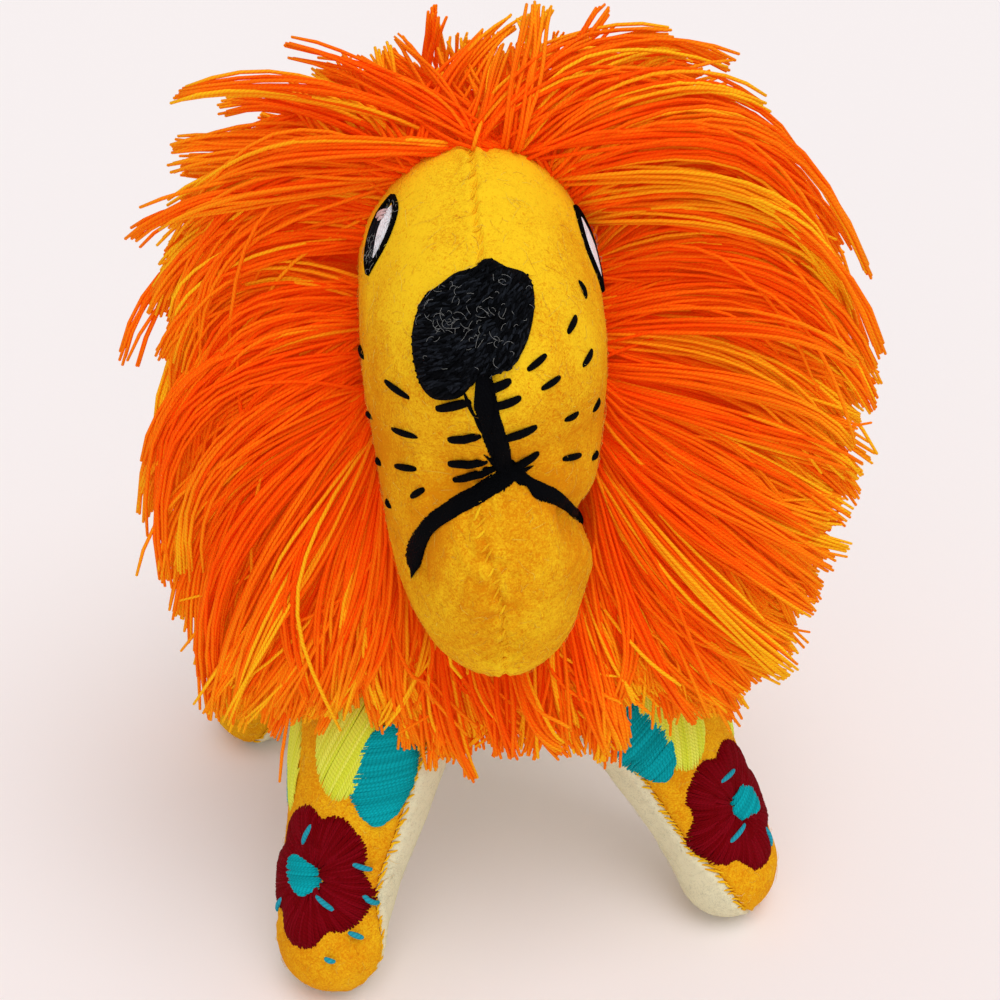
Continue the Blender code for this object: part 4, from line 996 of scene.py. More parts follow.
@cache
def head_surface():
    """The stuffed head with its seam, mouth crease, chin and puckers, rows across it and columns round it.

    With it come its painted shade, mixed with random mottling of the gold, and the row in which its seam runs at each
    column.
    """
    grid = head_grid(HEAD_ROWS, HEAD_COLS)
    across, ahead, up = grid[..., 0], -grid[..., 1], grid[..., 2]
    run = np.arange(HEAD_COLS) / HEAD_COLS * HEAD_ROUND
    swell = 0.6 * lumps(grid, 0.022, 3) + 0.25 * lumps(grid, 0.007, 5)
    chin = np.clip((-0.002 - up) / 0.016, 0, 1) * np.clip((ahead - 0.07) / 0.02, 0, 1)
    stitch = 0.5 + 0.5 * np.cos(TURN * run / SEAM_PITCH)
    # The seam swings to the lion's right under the mouth
    lean = -4.0 * MM * np.clip((up + 0.026) / 0.020, 0, 1) * np.clip((0.008 - up) / 0.004, 0, 1) \
        * np.clip((ahead - 0.08) / 0.01, 0, 1)
    seam = across - lean
    knots = lumps(grid, 0.0026, 15) * bump(seam, 3.4 * MM)
    ridge = 0.8 * bump(seam, 3.2 * MM) * (1 - 1.5 * chin) + (0.35 + 0.65 * chin) * knots
    groove = -(0.6 + 0.7 * stitch) * bump(seam + 0.5 * MM * lumps(grid, 0.006, 9), 0.9 * MM)
    ripple = np.cos(TURN * (run / PUCKER_PITCH + 4 * lumps(grid, 0.018, 8)))
    pucker = 0.30 * ripple * bump(np.abs(seam) - 3 * MM, 4.5 * MM) * (1 + lumps(grid, 0.013, 6))
    creased = np.where(ahead > 0.06, line_distance(grid[..., [0, 2]], MOUTH_ROUTE, 48), 1.0)
    crease = -2.3 * bump(creased, 2.8 * MM)
    wrinkle = np.sin(TURN * (creased / WRINKLE_PITCH + 0.8 * lumps(grid, 0.012, 4))) * chin
    fold = line_distance(grid, FOLD, 16)
    ball = np.linalg.norm(grid - CHIN_BALL, axis=-1)
    notch = -4.4 * bump(fold, 6 * MM) + 1.3 * bump(fold - 11 * MM, 6 * MM) * chin + 1.3 * bump(ball, 17 * MM) \
        - 2.2 * bump(fold, 20 * MM)
    rise = MM * (swell + ridge + groove + pucker + crease + 0.20 * wrinkle + notch)
    front = np.clip((ahead - 0.05) / 0.03, 0, 1)
    # Painted shade and mottling: the gold is deeper low on the head and towards the front of the muzzle as if lit from
    # above, and deeper at the head's sides and in the mouth's crease. A painted highlight runs along the middle seam,
    # and the chin's raised knots are painted lighter and its dimples darker. Lumps add random mottling, and the chin's
    # wrinkles band it deeper and lighter.
    painted_shade_and_mottle = np.interp(up / HEAD_HALF_HEIGHT, *HEAD_PAINTED_SHADE) * (0.45 + 0.55 * front) \
        + 0.10 * (np.abs(across) / (HEAD_WIDTH / 2)) ** 4 + 0.30 * bump(creased, 4 * MM) \
        - 0.20 * bump(across, 1.5 * MM) + 0.22 * lumps(grid, 0.012, 14) + 0.08 * wrinkle - 0.50 * chin * knots
    middle = (HEAD_ROWS - 1) // 2
    seam_rows = middle + lean[middle] / (across[middle + 1] - across[middle])
    return Surface(turned(grid + grid_normals(grid) * rise[..., None])), painted_shade_and_mottle, seam_rows


def nose_batches(surface):
    """The nose: a domed pad inside its outline and layers of short slanted stitches over it."""
    rng = np.random.default_rng(7)
    edge = smooth_curve(NOSE_EDGE, 72, closed=True)
    middle = edge.mean(axis=0)
    shares = np.concatenate([np.linspace(0.04, 0.90, 16), [0.96, 1.0]])
    points, normals = surface.cast(*sight_lines(middle + shares[:, None, None] * (edge - middle)))
    dome = 2.0 * MM * (1 - shares**5) ** 0.5 + 0.3 * MM
    top = points + normals * dome[:, None, None]
    foot = points[-1:] - normals[-1:] * 0.8 * MM
    inner = points[:1].mean(axis=1) - normals[:1].mean(axis=1) * 0.8 * MM
    pad = outwards(ring_batch(np.concatenate([top, foot])[None], top[:1].mean(axis=1), inner))
    shell = Surface(top[::-1])
    count = NOSE_STITCHES
    angle, reach = rng.uniform(0, TURN, count), np.sqrt(rng.uniform(0.0, 0.96, count))
    near = edge[np.floor(angle / TURN * len(edge)).astype(int) % len(edge)]
    centre = middle + reach[:, None] * (near - middle)
    lean = np.radians(rng.normal(-38, 16, count) + 22 * np.sin(centre[:, 0] / 30))
    half = rng.uniform(8, 18, count)[:, None] * ray(lean) / 2
    share = np.linspace(-1, 1, 7)
    points, normals = shell.cast(*sight_lines(centre[:, None] + half[:, None] * share[:, None]))
    arch = 1 - share**2
    points = points + normals * ((arch * 0.30 - 0.12) * MM + rng.uniform(0, 0.15, (count, 1)) * MM)[..., None]
    short = tubes(points, 0.34 * MM * (0.35 + 0.65 * arch**0.5), 5, normals, 0.8, rng.uniform(0, 1, count) ** 3)
    return [pad, short], shell


def almond(height, width, fullness=1.0, count=24):
    """A pointed oval: two arcs that meet at its ends, rounder the smaller the fullness."""
    steps = np.linspace(-1, 1, count)
    bulge = width / 2 * (1 - steps**2) ** fullness
    right, left = (np.column_stack([side * bulge, steps * height / 2]) for side in (1, -1))
    return np.vstack([right, left[-2:0:-1]])


def clipped(outline, low, high):
    """The part of an outline between two places across it."""
    return np.column_stack([np.clip(outline[:, 0], low, high), outline[:, 1]])


def eye_patch(surface, name):
    """Points and normals on the head's side for places in an eye's own plane, whose first axis runs to the face."""
    ahead, up, tilt = EYES[name][:3]
    side = SIDES[name]

    def points_of(flat):
        forward = ahead + flat[..., 0] * math.cos(tilt) - flat[..., 1] * math.sin(tilt)
        height = up + flat[..., 1] * math.cos(tilt) + flat[..., 0] * math.sin(tilt)
        origins = turned(np.stack([np.full_like(forward, side * HEAD_WIDTH), -forward, height], axis=-1))
        way = turned(np.array((-side, 0.0, 0.0))) - NECK
        return surface.cast(origins, np.broadcast_to(way, origins.shape))

    return points_of


def flower_outline(count):
    """An oval flower whose rim dips between its petals."""
    angles = full_turn(count)
    dip = 1 - PETAL_DEPTH_SHARE * (0.5 + 0.5 * np.cos(PETALS * angles)) ** 3
    return np.column_stack([FLOWER_WIDTH / 2 * dip * np.sin(angles), FLOWER_HEIGHT / 2 * dip * np.cos(angles)])


# Mane

def mane_strands(section, sizes):
    """Paths and tints of one section's strands.

    A tuft's locks fan out from one root. A strand is a quadratic Bezier curve in the mane's plane: it leaves its
    root at the heading and ends at the tip's angle, both read from the table at its root's angle. Forwards it
    swells over the straight way from root to tip. A lock's strands keep side by side in a disc round its curve.
    """
    rng = np.random.default_rng(500 + section)
    depth, fan, tuft = np.array([
        (depth, 2 * (k + 0.5) / locks - 1, tuft)
        for tuft in range(MANE_TUFTS) for depth, locks in MANE_LAYERS for k in range(locks)
    ]).T
    locks = len(depth)
    layer = np.searchsorted([share for share, _ in MANE_LAYERS], depth)
    shift = rng.uniform(-0.3, 0.3, (len(MANE_LAYERS), MANE_TUFTS))[layer, tuft.astype(int)]
    root = math.pi / 2 + (section + (tuft + 0.5 + shift) / MANE_TUFTS) * TURN / MANE_SECTIONS
    side = side_of(root)
    tip, heading, knee_share = (
        np.interp(side + fan * (9 + 7 * bump(side - 90, 30)), MANE_FLOW[0], row) for row in MANE_FLOW[1:])
    tip = np.radians(tip) + rng.normal(0, 0.085, locks)
    heading = np.radians(heading + 14 * fan) + rng.normal(0, 0.12, locks)
    reach = mane_reach(tip) + rng.normal(0, 1, locks) * (0.042 + 0.02 * bump(side - 165, 60)) - 0.03 * depth
    lock_ahead = rng.normal(0, 2.4, locks) * MM
    amber = rng.uniform(0, 1, locks) < 0.05 + 0.30 * bump(side - 66, 22) * (depth < 0.4) \
        + 0.10 * bump(side + 70, 34) + 0.06 * bump(side, 26) + 0.08 * bump(side - 112, 18) \
        + 0.10 * bump(side - 158, 32) * (depth < 0.4) + 0.35 * bump(side + 76, 9)
    late = rng.uniform(0, 1, locks) ** 2.0 \
        * (0.8 + 0.8 * bump(side + 80, 50) + 0.5 * bump(side - 30, 60) + 0.6 * bump(side - 165, 45))
    tone = rng.uniform(0, 1, locks) ** 2.5 * 0.20

    each = max(sizes.strands // locks, 1)
    count, lock = locks * each, np.repeat(np.arange(locks), each)
    stray = (rng.uniform(0, 1, count) < 0.045) * 1.0
    depth, fan = depth[lock], fan[lock]
    root = root[lock] + np.radians(1.3 * fan) + rng.normal(0, 0.022, count)
    tip = tip[lock] + rng.normal(0, 0.012 + 0.13 * stray)
    heading = heading[lock] + rng.normal(0, 0.05 + 0.25 * stray)
    reach = reach[lock] - np.abs(rng.normal(0, 0.022, count)) - stray * rng.uniform(-0.06, 0.2, count)
    root_ahead = mane_front(root) - depth * 0.060 + rng.normal(0, 0.9, count) * MM
    root_radius = np.maximum(head_surface_radius(root, root_ahead) - 1.5 * MM, 0.012)
    tip_ahead = mane_tip(tip) + (3.0 - 9.0 * depth + 2.5 * stray * rng.normal(0, 1, count)) * MM + lock_ahead[lock]

    t = np.linspace(0, 1, STRAND_STEPS)
    start, end = root_radius[:, None] * ray(root), (mane_radius(tip) * reach)[:, None] * ray(tip)
    chord = np.linalg.norm(end - start, axis=1)[:, None]
    knee = start + knee_share[lock][:, None] * chord * ray(heading)
    one, two, three = ((1 - t) ** 2)[:, None], (2 * t * (1 - t))[:, None], (t**2)[:, None]
    flat = start[:, None] * one + knee[:, None] * two + end[:, None] * three
    radius, angle = np.linalg.norm(flat, axis=-1), np.arctan2(flat[..., 1], flat[..., 0])
    longest = mane_reach(angle) + (reach - mane_reach(tip))[:, None]
    excess = np.maximum(radius - longest * mane_radius(angle), 0)
    flat = flat * (1 - 0.8 * excess / np.maximum(radius, MM))[..., None]
    round_eyes = 1 - 0.75 * (bump(np.degrees(root) % 360 - 128, 20) + bump(np.degrees(root) % 360 - 56, 20))
    bulge = MANE_BULGE * np.maximum(1.15 - 1.6 * depth, -0.2) * round_eyes + rng.normal(0, 0.8, count) * MM
    ahead = root_ahead[:, None] + (tip_ahead - root_ahead)[:, None] * t \
        + bulge[:, None] * np.sin(math.pi * t**0.7) + lock_ahead[lock][:, None] * np.sin(math.pi * t)

    way = unit(np.gradient(flat, axis=1))
    aside = np.stack([-way[..., 1], way[..., 0]], axis=-1)
    place, out = rng.uniform(0, TURN, (count, 1)), np.sqrt(rng.uniform(0, 1, (count, 1)))
    width = np.interp(t, (0, 0.15, 0.5, 1), (0.9, 1.8, 2.7, 1.1)) * MM * out
    turns = place + rng.normal(0, 0.7, (count, 1)) * t
    wave = rng.uniform(0, TURN, (count, 2))
    swing = rng.uniform(0.1, 0.8, (count, 1)) * MM * t
    flat = flat + aside * (width * np.cos(turns) + swing * np.sin(wave[:, :1] + 9 * t))[..., None]
    ahead = ahead + 0.8 * width * np.sin(turns) + swing * np.sin(wave[:, 1:] + 8 * t)
    paths = np.stack([MANE_SHIFT + flat[..., 0], -ahead, -MANE_DROP + flat[..., 1]], axis=-1)
    pushed = push_from_head(paths, 0.5 * MM + 0.8 * MM * rng.uniform(0, 1, (count, 1)))
    paths = turned(paths + (pushed - paths) * smooth_step(t * 5)[:, None])
    for leg in LEG_LIST[:2]:
        paths = leg.push(paths, 1.5 * MM)
    lit = amber[lock] & (rng.uniform(0, 1, count) < 0.75) | (rng.uniform(0, 1, count) < 0.04)
    tint = np.where(lit, rng.uniform(0.55, 1, count), tone[lock] + rng.uniform(-0.06, 0.16, count))[:, None] \
        * np.interp(t, (0, 0.35, 1), (0.55, 0.9, 1.0))
    tint = tint + (late[lock] * rng.uniform(0.3, 1, count))[:, None] * 0.75 * t**3
    return paths, np.clip(tint, 0, 1)


def mane_underlay(section):
    """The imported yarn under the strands: the mane's own profile drawn in, swept over the section's angle."""
    turn = TURN / MANE_SECTIONS
    angles = (np.linspace(0, turn, 13) + math.pi / 2 + section * turn)[:, None]
    share = np.linspace(0, 1, 9)
    front_place = mane_front(angles) - 5 * MM
    rear_place = np.full(front_place.shape, -MANE_BACK + 14 * MM)
    front_root = head_surface_radius(angles, front_place - 5 * MM) - 3 * MM
    rear_root = np.maximum(head_surface_radius(angles, rear_place) - 3 * MM, 0.010)
    outer, tip = mane_radius(angles) - 27 * MM, mane_tip(angles)
    front = front_place + (tip - front_place - 5 * MM) * share
    rear = np.minimum(rear_place + (tip - 12 * MM - rear_place) * share, front - 2 * MM)
    front_row = mane_point(front_root + (outer - front_root) * share, angles, front)
    rear_row = mane_point(rear_root + (outer - rear_root) * share, angles, rear)[:, ::-1]
    return closed(turned(np.concatenate([front_row, rear_row], axis=1)))


# Registered pieces

class LionSizes(bpy.types.PropertyGroup):
    strands: bpy.props.IntProperty(
        name="Strands", description="Strands of yarn in each of the mane's sections", default=1240, min=120)
    yarn: bpy.props.FloatProperty(
        name="Yarn", description="Thickness of the mane's yarn", default=0.00098, unit="LENGTH", min=0.0002)
    thread: bpy.props.FloatProperty(
        name="Thread", description="Thickness of the embroidery yarn", default=0.0011, unit="LENGTH", min=0.0002)
    seam_step: bpy.props.FloatProperty(
        name="Seam step", description="Distance between whip stitches", default=0.0038, unit="LENGTH", min=0.001)


def colour(name, description, default):
    return bpy.props.FloatVectorProperty(name=name, description=description, default=default, subtype="COLOR")


class LionColours(bpy.types.PropertyGroup):
    gold: colour("Gold", "Light tone of the golden felt", (0.97, 0.60, 0.014))
    # The deep gold is also the colour that painted shade on the head and legs leads to
    gold_deep: colour("Deep gold", "Deep tone of the golden felt", (0.74, 0.25, 0.003))
    cream: colour("Cream", "Cream felt", (0.80, 0.74, 0.50))
    orange: colour("Orange", "Most of the mane's yarn", (0.97, 0.085, 0.001))
    amber: colour("Amber", "Lightest of the mane's yarn", (0.98, 0.52, 0.010))
    crimson: colour("Crimson", "Flowers", (0.16, 0.0, 0.002))
    turquoise: colour("Turquoise", "Flower hearts and the broad leaves", (0.002, 0.31, 0.35))
    lime: colour("Lime", "The narrow leaves", (0.74, 0.80, 0.045))


class Builder:
    """An operator's run: it builds its pieces from the scene's sizes."""

    def execute(self, context):
        self.build(context.scene.lion_sizes)
        return {"FINISHED"}


class LION_OT_stage(Builder, bpy.types.Operator):
    """Floor, camera and lights of the photograph"""

    bl_idname = "lion.stage"
    bl_label = "Stage"

    def build(self, sizes):
        scene, pale = bpy.context.scene, (0.930, 0.871, 0.871)
        floor = bpy.data.meshes.new("floor")
        reach = 4.0
        floor.from_pydata([(-reach, -reach, 0), (reach, -reach, 0), (reach, reach, 0), (-reach, reach, 0)],
                          [], [(0, 1, 2, 3)])
        made, _, shader = new_material("pale_floor", 0.9)
        shader.inputs["Base Color"].default_value = (*pale, 1)
        floor.materials.append(made)
        ground = bpy.data.objects.new("floor", floor)
        scene.collection.objects.link(ground)
        world = scene.world = bpy.data.worlds.new("studio")
        world.use_nodes = True
        nodes = Nodes(world.node_tree)
        world.node_tree.nodes.clear()
        light = nodes.add("Background", {"Color": WHITE, "Strength": 0.62}).outputs[0]
        behind = nodes.add("Background", {"Color": pale, "Strength": 1.0}).outputs[0]
        path = nodes.add("LightPath").outputs
        seen = nodes.math("MAXIMUM", path["Is Camera Ray"], path["Is Glossy Ray"])
        seen = nodes.math("MAXIMUM", seen, path["Is Transmission Ray"])
        mixed = nodes.add("MixShader", {0: seen, 1: light, 2: behind})
        nodes.add("OutputWorld", {"Surface": mixed.outputs[0]})
        for name, way, strength, spread in (
            ("overhead", (0.15, -0.35, 1.0), 1.15, 45), ("front", (-0.3, -1.0, 0.45), 0.35, 60),
        ):
            lamp = bpy.data.lights.new(name, "SUN")
            lamp.energy, lamp.angle = strength, math.radians(spread)
            obj = bpy.data.objects.new(name, lamp)
            obj.rotation_euler = Vector(way).to_track_quat("Z", "Y").to_euler()
            scene.collection.objects.link(obj)
        origin, way = sight_lines(np.array((FRAME_PIXELS / 2, FRAME_PIXELS / 2)))
        camera = bpy.data.cameras.new("camera")
        camera.sensor_width, camera.lens, camera.clip_start = SENSOR, SENSOR * FOCAL_PIXELS / FRAME_PIXELS, 0.01
        obj = bpy.data.objects.new("camera", camera)
        obj.matrix_world = Matrix.Translation(origin) @ (-Vector(way)).to_track_quat("Z", "Y").to_matrix().to_4x4()
        scene.collection.objects.link(obj)
        scene.camera = obj
        scene.view_settings.view_transform = "Standard"


class LION_OT_head(Builder, bpy.types.Operator):
    """Stuffed head of golden felt with its seam"""

    bl_idname = "lion.head"
    bl_label = "Head"

    def build(self, sizes):
        surface, painted_shade_and_mottle, seam_rows = head_surface()
        # The head's tint is its painted shade, mixed with random mottling
        piece("head", closed(surface.grid, painted_shade_and_mottle), "gold_felt", "head_felt_left", "head_felt_right", "head_filling",
              fill=HEAD_FILL)
        piece("head_hairs", surface.hairs(HEAD_HAIRS, 210), "gold_hair", slot="gold_felt")
        count = int(HEAD_ROUND / (0.7 * sizes.seam_step))
        col = (np.arange(count) + 0.5) / count * HEAD_COLS
        share = np.linspace(-1, 1, 7)
        middle = np.interp(col, np.arange(HEAD_COLS), seam_rows)[:, None]
        lean = 0.5 * sizes.seam_step / HEAD_ROUND * HEAD_COLS
        rng = np.random.default_rng(4)
        reach = rng.uniform(1.6, 4.4, (count, 1))
        col = col + rng.normal(0, 0.30, count) * lean
        row = middle + rng.uniform(-1.5, 1.5, (count, 1)) + share * reach
        col = col[:, None] + share * lean * rng.uniform(0.4, 1.2, (count, 1))
        piece("head_seam_stitches", surface.whip(row, col, rng.uniform(0.5, 1, count), 0.38, 0.30, 0.12),
              "gold_thread")


class LION_OT_face(Builder, bpy.types.Operator):
    """Nose, philtrum, mouth, bars, whiskers and eyes in satin stitch"""

    bl_idname = "lion.face"
    bl_label = "Face"

    def build(self, sizes):
        surface = head_surface()[0]
        batches, shell = nose_batches(surface)
        piece("nose_stitches", batches, "black_thread", "nose")
        rng = np.random.default_rng(12)
        centres = np.vstack([np.array(middle) + rng.normal(0, spread, (count, 2))
                             for middle, spread, count in NOSE_FUZZ])
        piece("nose_fibres", curly_fibres(shell, centres, 13), "grey_fibre", slot="black_thread")
        thin = 0.7 * sizes.thread
        strip = [band_stitches(surface, PHILTRUM_LINE, (25, 25, 22, 20, 19), thin, 2.0, 1, 0.3 * MM),
                 dashes(surface, PHILTRUM_ENDS, 0.0010, 0.8)]
        piece("philtrum_stitches", strip, "black_thread", "philtrum")
        mouth = [band_stitches(surface, MOUTH_LEFT, (18, 20, 20, 19, 18, 6), thin, 2.2, 2, 0.2 * MM),
                 band_stitches(surface, MOUTH_RIGHT, (20, 17, 15, 13, 8), thin, 2.2, 3, 0.2 * MM)]
        piece("mouth_stitches", mouth, "black_thread", "mouth")
        piece("philtrum_bars", dashes(surface, BARS, 0.0022, 0.7, taper=0.7), "black_thread")
        piece("whisker_stitches", dashes(surface, WHISKERS, 0.0017, 0.5, taper=0.6), "black_thread")
        for number, name in enumerate(SIDES):
            on_head = eye_patch(surface, name)
            height, width, pupil_share = EYES[name][3:]
            hole = almond(height - 2 * EYE_RIM, width - 2 * EYE_RIM)
            split = -(width / 2 - EYE_RIM - pupil_share * width)
            line = smooth_curve(almond(height - EYE_RIM, width - EYE_RIM), 110, closed=True)
            away = unit(np.roll(line, -1, axis=0) - np.roll(line, 1, axis=0))
            across = np.column_stack([away[:, 1], -away[:, 0]])
            share = np.linspace(-1, 1, 7)
            bow = 1 - share**2
            points, normals = on_head(line[:, None] + (across / 2 + away * 0.3)[:, None] * share[:, None] * EYE_RIM)
            points = points + normals * (bow * 0.7 * MM)[:, None]
            batch = tubes(points, 0.42 * MM * (0.6 + 0.4 * bow), 6, normals, 0.8)
            piece(f"eye_rim_stitches_{name}", batch, "black_thread", f"eye_rim_{name}")
            for part, low, high, lean, pitch, colour_name, seed in (
                ("white", split, 1, math.radians(88), 0.55 * MM, "white_thread", 20),
                ("pupil", -1, split, math.radians(84), 0.6 * MM, "black_thread", 30),
            ):
                batch = satin(on_head, clipped(hole, low, high), lean, pitch, EYE_THREAD, 0.9 * MM, seed + number)
                piece(f"eye_{part}_stitches_{name}", batch, colour_name, f"eye_{part}_{name}")
            tufts = dashes(surface, EYE_TUFTS[name], 0.0009, 0.6, lift=0.9 * MM)
            piece(f"eye_tufts_{name}", tufts, "pink_thread", slot="white_thread")
            first, last, spread, count = EYE_FUZZ[name]
            share = rng.uniform(0, 1, (count, 1))
            centres = np.array(first) * (1 - share) + np.array(last) * share + rng.normal(0, spread, (count, 2))
            fibres = curly_fibres(surface, centres, 14 + number, 0.0020, lift=0.9 * MM)
            piece(f"eye_fibres_{name}", fibres, "grey_fibre", slot="black_thread")


class LION_OT_body(Builder, bpy.types.Operator):
    """Golden back and cream belly of the stuffed body"""

    bl_idname = "lion.body"
    bl_label = "Body"

    def build(self, sizes):
        grid = body_grid(BODY_ROWS, BODY_COLS)
        run = np.arange(BODY_ROWS)[:, None] / BODY_ROWS * BODY_RUN
        swell = 0.9 * MM * lumps(grid, 0.03, 21) + 0.25 * MM * lumps(grid, 0.008, 22)
        for leg in LEG_LIST:
            radius, share = leg.inside(grid)
            swell = swell + fillet((radius - 1) * 0.022 + np.where(share < -0.2, 1.0, 0.0), 0.016)
        half, per_turn = BODY_WIDTH / 2, BODY_COLS / TURN
        stitch = 0.5 + 0.5 * np.cos(TURN * run / SEAM_PITCH)
        seams = (0.0, math.pi / 2 + GUSSET_ANGLE, 3 * math.pi / 2 - GUSSET_ANGLE)
        for seam in seams:
            gap = np.abs((full_turn(BODY_COLS) - seam + math.pi) % TURN - math.pi)[None] * half
            swell = swell - (0.6 + 0.6 * stitch) * MM * bump(gap, 1.2 * MM) + 0.4 * MM * bump(gap - 2.6 * MM, 1.6 * MM)
        surface = Surface(grid + grid_normals(grid) * swell[..., None])
        low, high = (int(round(angle * per_turn)) for angle in seams[1:])
        back = np.concatenate([np.arange(high, BODY_COLS), np.arange(0, low + 1)])
        surface.panel("back_panels", back, "gold_felt", 0.15, "body_felt_left", "body_felt_right", "body_filling")
        surface.panel("belly_panel", np.arange(low, high + 1), "cream_felt", 0.15, "belly_felt")
        batches, count, share = [], BODY_STITCHES, np.linspace(-1, 1, 7)
        for number, seam in enumerate(seams):
            rng = np.random.default_rng(40 + number)
            row = np.linspace(3, BODY_ROWS - 4, count) + rng.uniform(-0.3, 0.3, count)
            width = rng.uniform(0.8, 1.8, (count, 1)) * MM / half * per_turn
            row = row[:, None] + share * rng.uniform(0.3, 1.0, (count, 1))
            batches.append(surface.whip(row, seam * per_turn + share * width, rng.uniform(0.5, 1, count)))
        piece("body_seam_stitches", batches, "gold_thread")


class LION_OT_legs(Builder, bpy.types.Operator):
    """Legs of golden and cream felt with their whip-stitched seams"""

    bl_idname = "lion.legs"
    bl_label = "Legs"

    def build(self, sizes):
        half, share = LEG_COLS // 2, np.linspace(-1, 1, 9)
        for number, leg in enumerate(LEG_LIST):
            surface = leg.surface()
            # The outer panels' tint of 0.62 is painted shade that deepens their gold as under the mane; the inner
            # panels have none
            for name, columns, cloth_name, parts, tint in (
                ("outer", np.arange(0, half + 1), "gold", ("outer_felt", "filling"), 0.62),
                ("inner", np.arange(half, LEG_COLS + 1) % LEG_COLS, "cream", ("inner_felt",), 0.0),
            ):
                nodes = [f"{leg.name}_leg_{part}" for part in parts]
                surface.panel(f"{leg.name}_{name}_panel", columns, f"{cloth_name}_felt", tint, *nodes)
                piece(f"{leg.name}_{name}_hairs", surface.hairs(PANEL_HAIRS, 220 + number, columns[:-1]),
                      f"{cloth_name}_hair", slot=f"{cloth_name}_felt")
            batches = []
            for k, (seam, way) in enumerate(((0, 1), (half, -1))):
                rng = np.random.default_rng(60 + 2 * number + k)
                run = np.arange(0.2 * leg.length, leg.length + 0.8 * FOOT_END, 0.42 * sizes.seam_step)
                count = len(run)
                run = run + rng.uniform(-0.5, 0.5, count) * MM
                reach = np.where(share > 0, 0.7, 1.1) * rng.uniform(0.5, 1.5, (count, 1)) * MM
                depth, width, _ = leg.section(run / leg.length)
                per = LEG_COLS / (math.pi * (depth + width))
                row = leg.row(run)[:, None] + share * rng.uniform(0.6, 1.6, (count, 1)) * MM * leg.rows_per_metre
                col = seam + way * (share * reach + rng.normal(0, 0.3, (count, 1)) * MM) * per[:, None]
                batches.append(surface.whip(row, col, rng.uniform(0.55, 1, count), end=0.5))
            piece(f"{leg.name}_seam_stitches", batches, "gold_thread")


class LION_OT_embroidery(Builder, bpy.types.Operator):
    """Flowers and leaves on the front legs"""

    bl_idname = "lion.embroidery"
    bl_label = "Leg embroidery"

    def build(self, sizes):
        thin, share = 0.75 * sizes.thread, np.linspace(0, 1, 9)
        heart = FLOWER_HEART * ray(full_turn(24)) * (1.2, 0.85)
        for number, leg in enumerate(LEG_LIST[:2]):
            on_flower = leg.patch(FLOWER_SHARE, FLOWER_TURN)
            rng = np.random.default_rng(80 + number)
            batches = []
            for layer, (inner, outer, count) in enumerate(FLOWER_LAYERS):
                edge = flower_outline(count)
                start = edge * (inner + rng.uniform(-0.10, 0.06, (count, 1)))
                end = edge * (outer + rng.uniform(-0.012, 0.008, (count, 1)))
                end = end + rng.normal(0, 0.12 * MM, (count, 2))
                points, normals = on_flower(start[:, None] * (1 - share[:, None]) + end[:, None] * share[:, None])
                arch = np.sin(math.pi * share) ** 0.4
                points = points + normals * (arch * (1.1 + 0.2 * layer) * MM - 0.15 * MM)[:, None]
                batches.append(tubes(points, thin / 2 * (0.8 + 0.4 * arch), 6, normals, 0.8,
                                     rng.uniform(0, 1, count) ** 1.5))
            piece(f"{leg.name}_flower_stitches", batches, "crimson_thread", f"{leg.name}_flower")
            batch = satin(leg.patch(HEART_SHARE, HEART_TURN), heart, math.radians(15), SATIN_PITCH, sizes.thread,
                          1.6 * MM, 90 + number)
            piece(f"{leg.name}_flower_heart_stitches", batch, "teal_thread", f"{leg.name}_flower_heart")
            for name, (place, turn, size, lean, finish) in LEAVES.items():
                down, round_by = LEAF_MOVES.get((leg.name, name), (0, 0))
                rise = (1.2 if name == "teal_leaf" else 0.75) * MM
                batch = satin(leg.patch(place + down, turn + round_by), almond(*size, LEAF_FULLNESS), lean,
                              SATIN_PITCH, sizes.thread, rise, 95 + number, 11)
                piece(f"{leg.name}_{name}_stitches", batch, finish, f"{leg.name}_{name}")
            batch = dashes(leg.surface(), PETAL_STITCHES[leg.name], 0.0016, 0.8, lift=1.2 * MM, taper=0.6)
            piece(f"{leg.name}_petal_stitches", batch, "sky_thread", slot="teal_thread")


class LION_OT_mane(Builder, bpy.types.Operator):
    """Ten sections of plied yarn round the head"""

    bl_idname = "lion.mane"
    bl_label = "Mane"

    def build(self, sizes):
        radius = sizes.yarn / 2 * np.where(np.linspace(0, 1, STRAND_STEPS) > 0.97, 0.75, 1.0)
        for section in range(MANE_SECTIONS):
            paths, tint = mane_strands(section, sizes)
            piece(f"mane_yarn_{section + 1:02d}", [tubes(paths, radius, 4, tint=tint), mane_underlay(section)],
                  "mane_yarn", f"mane_section_{section + 1:02d}")


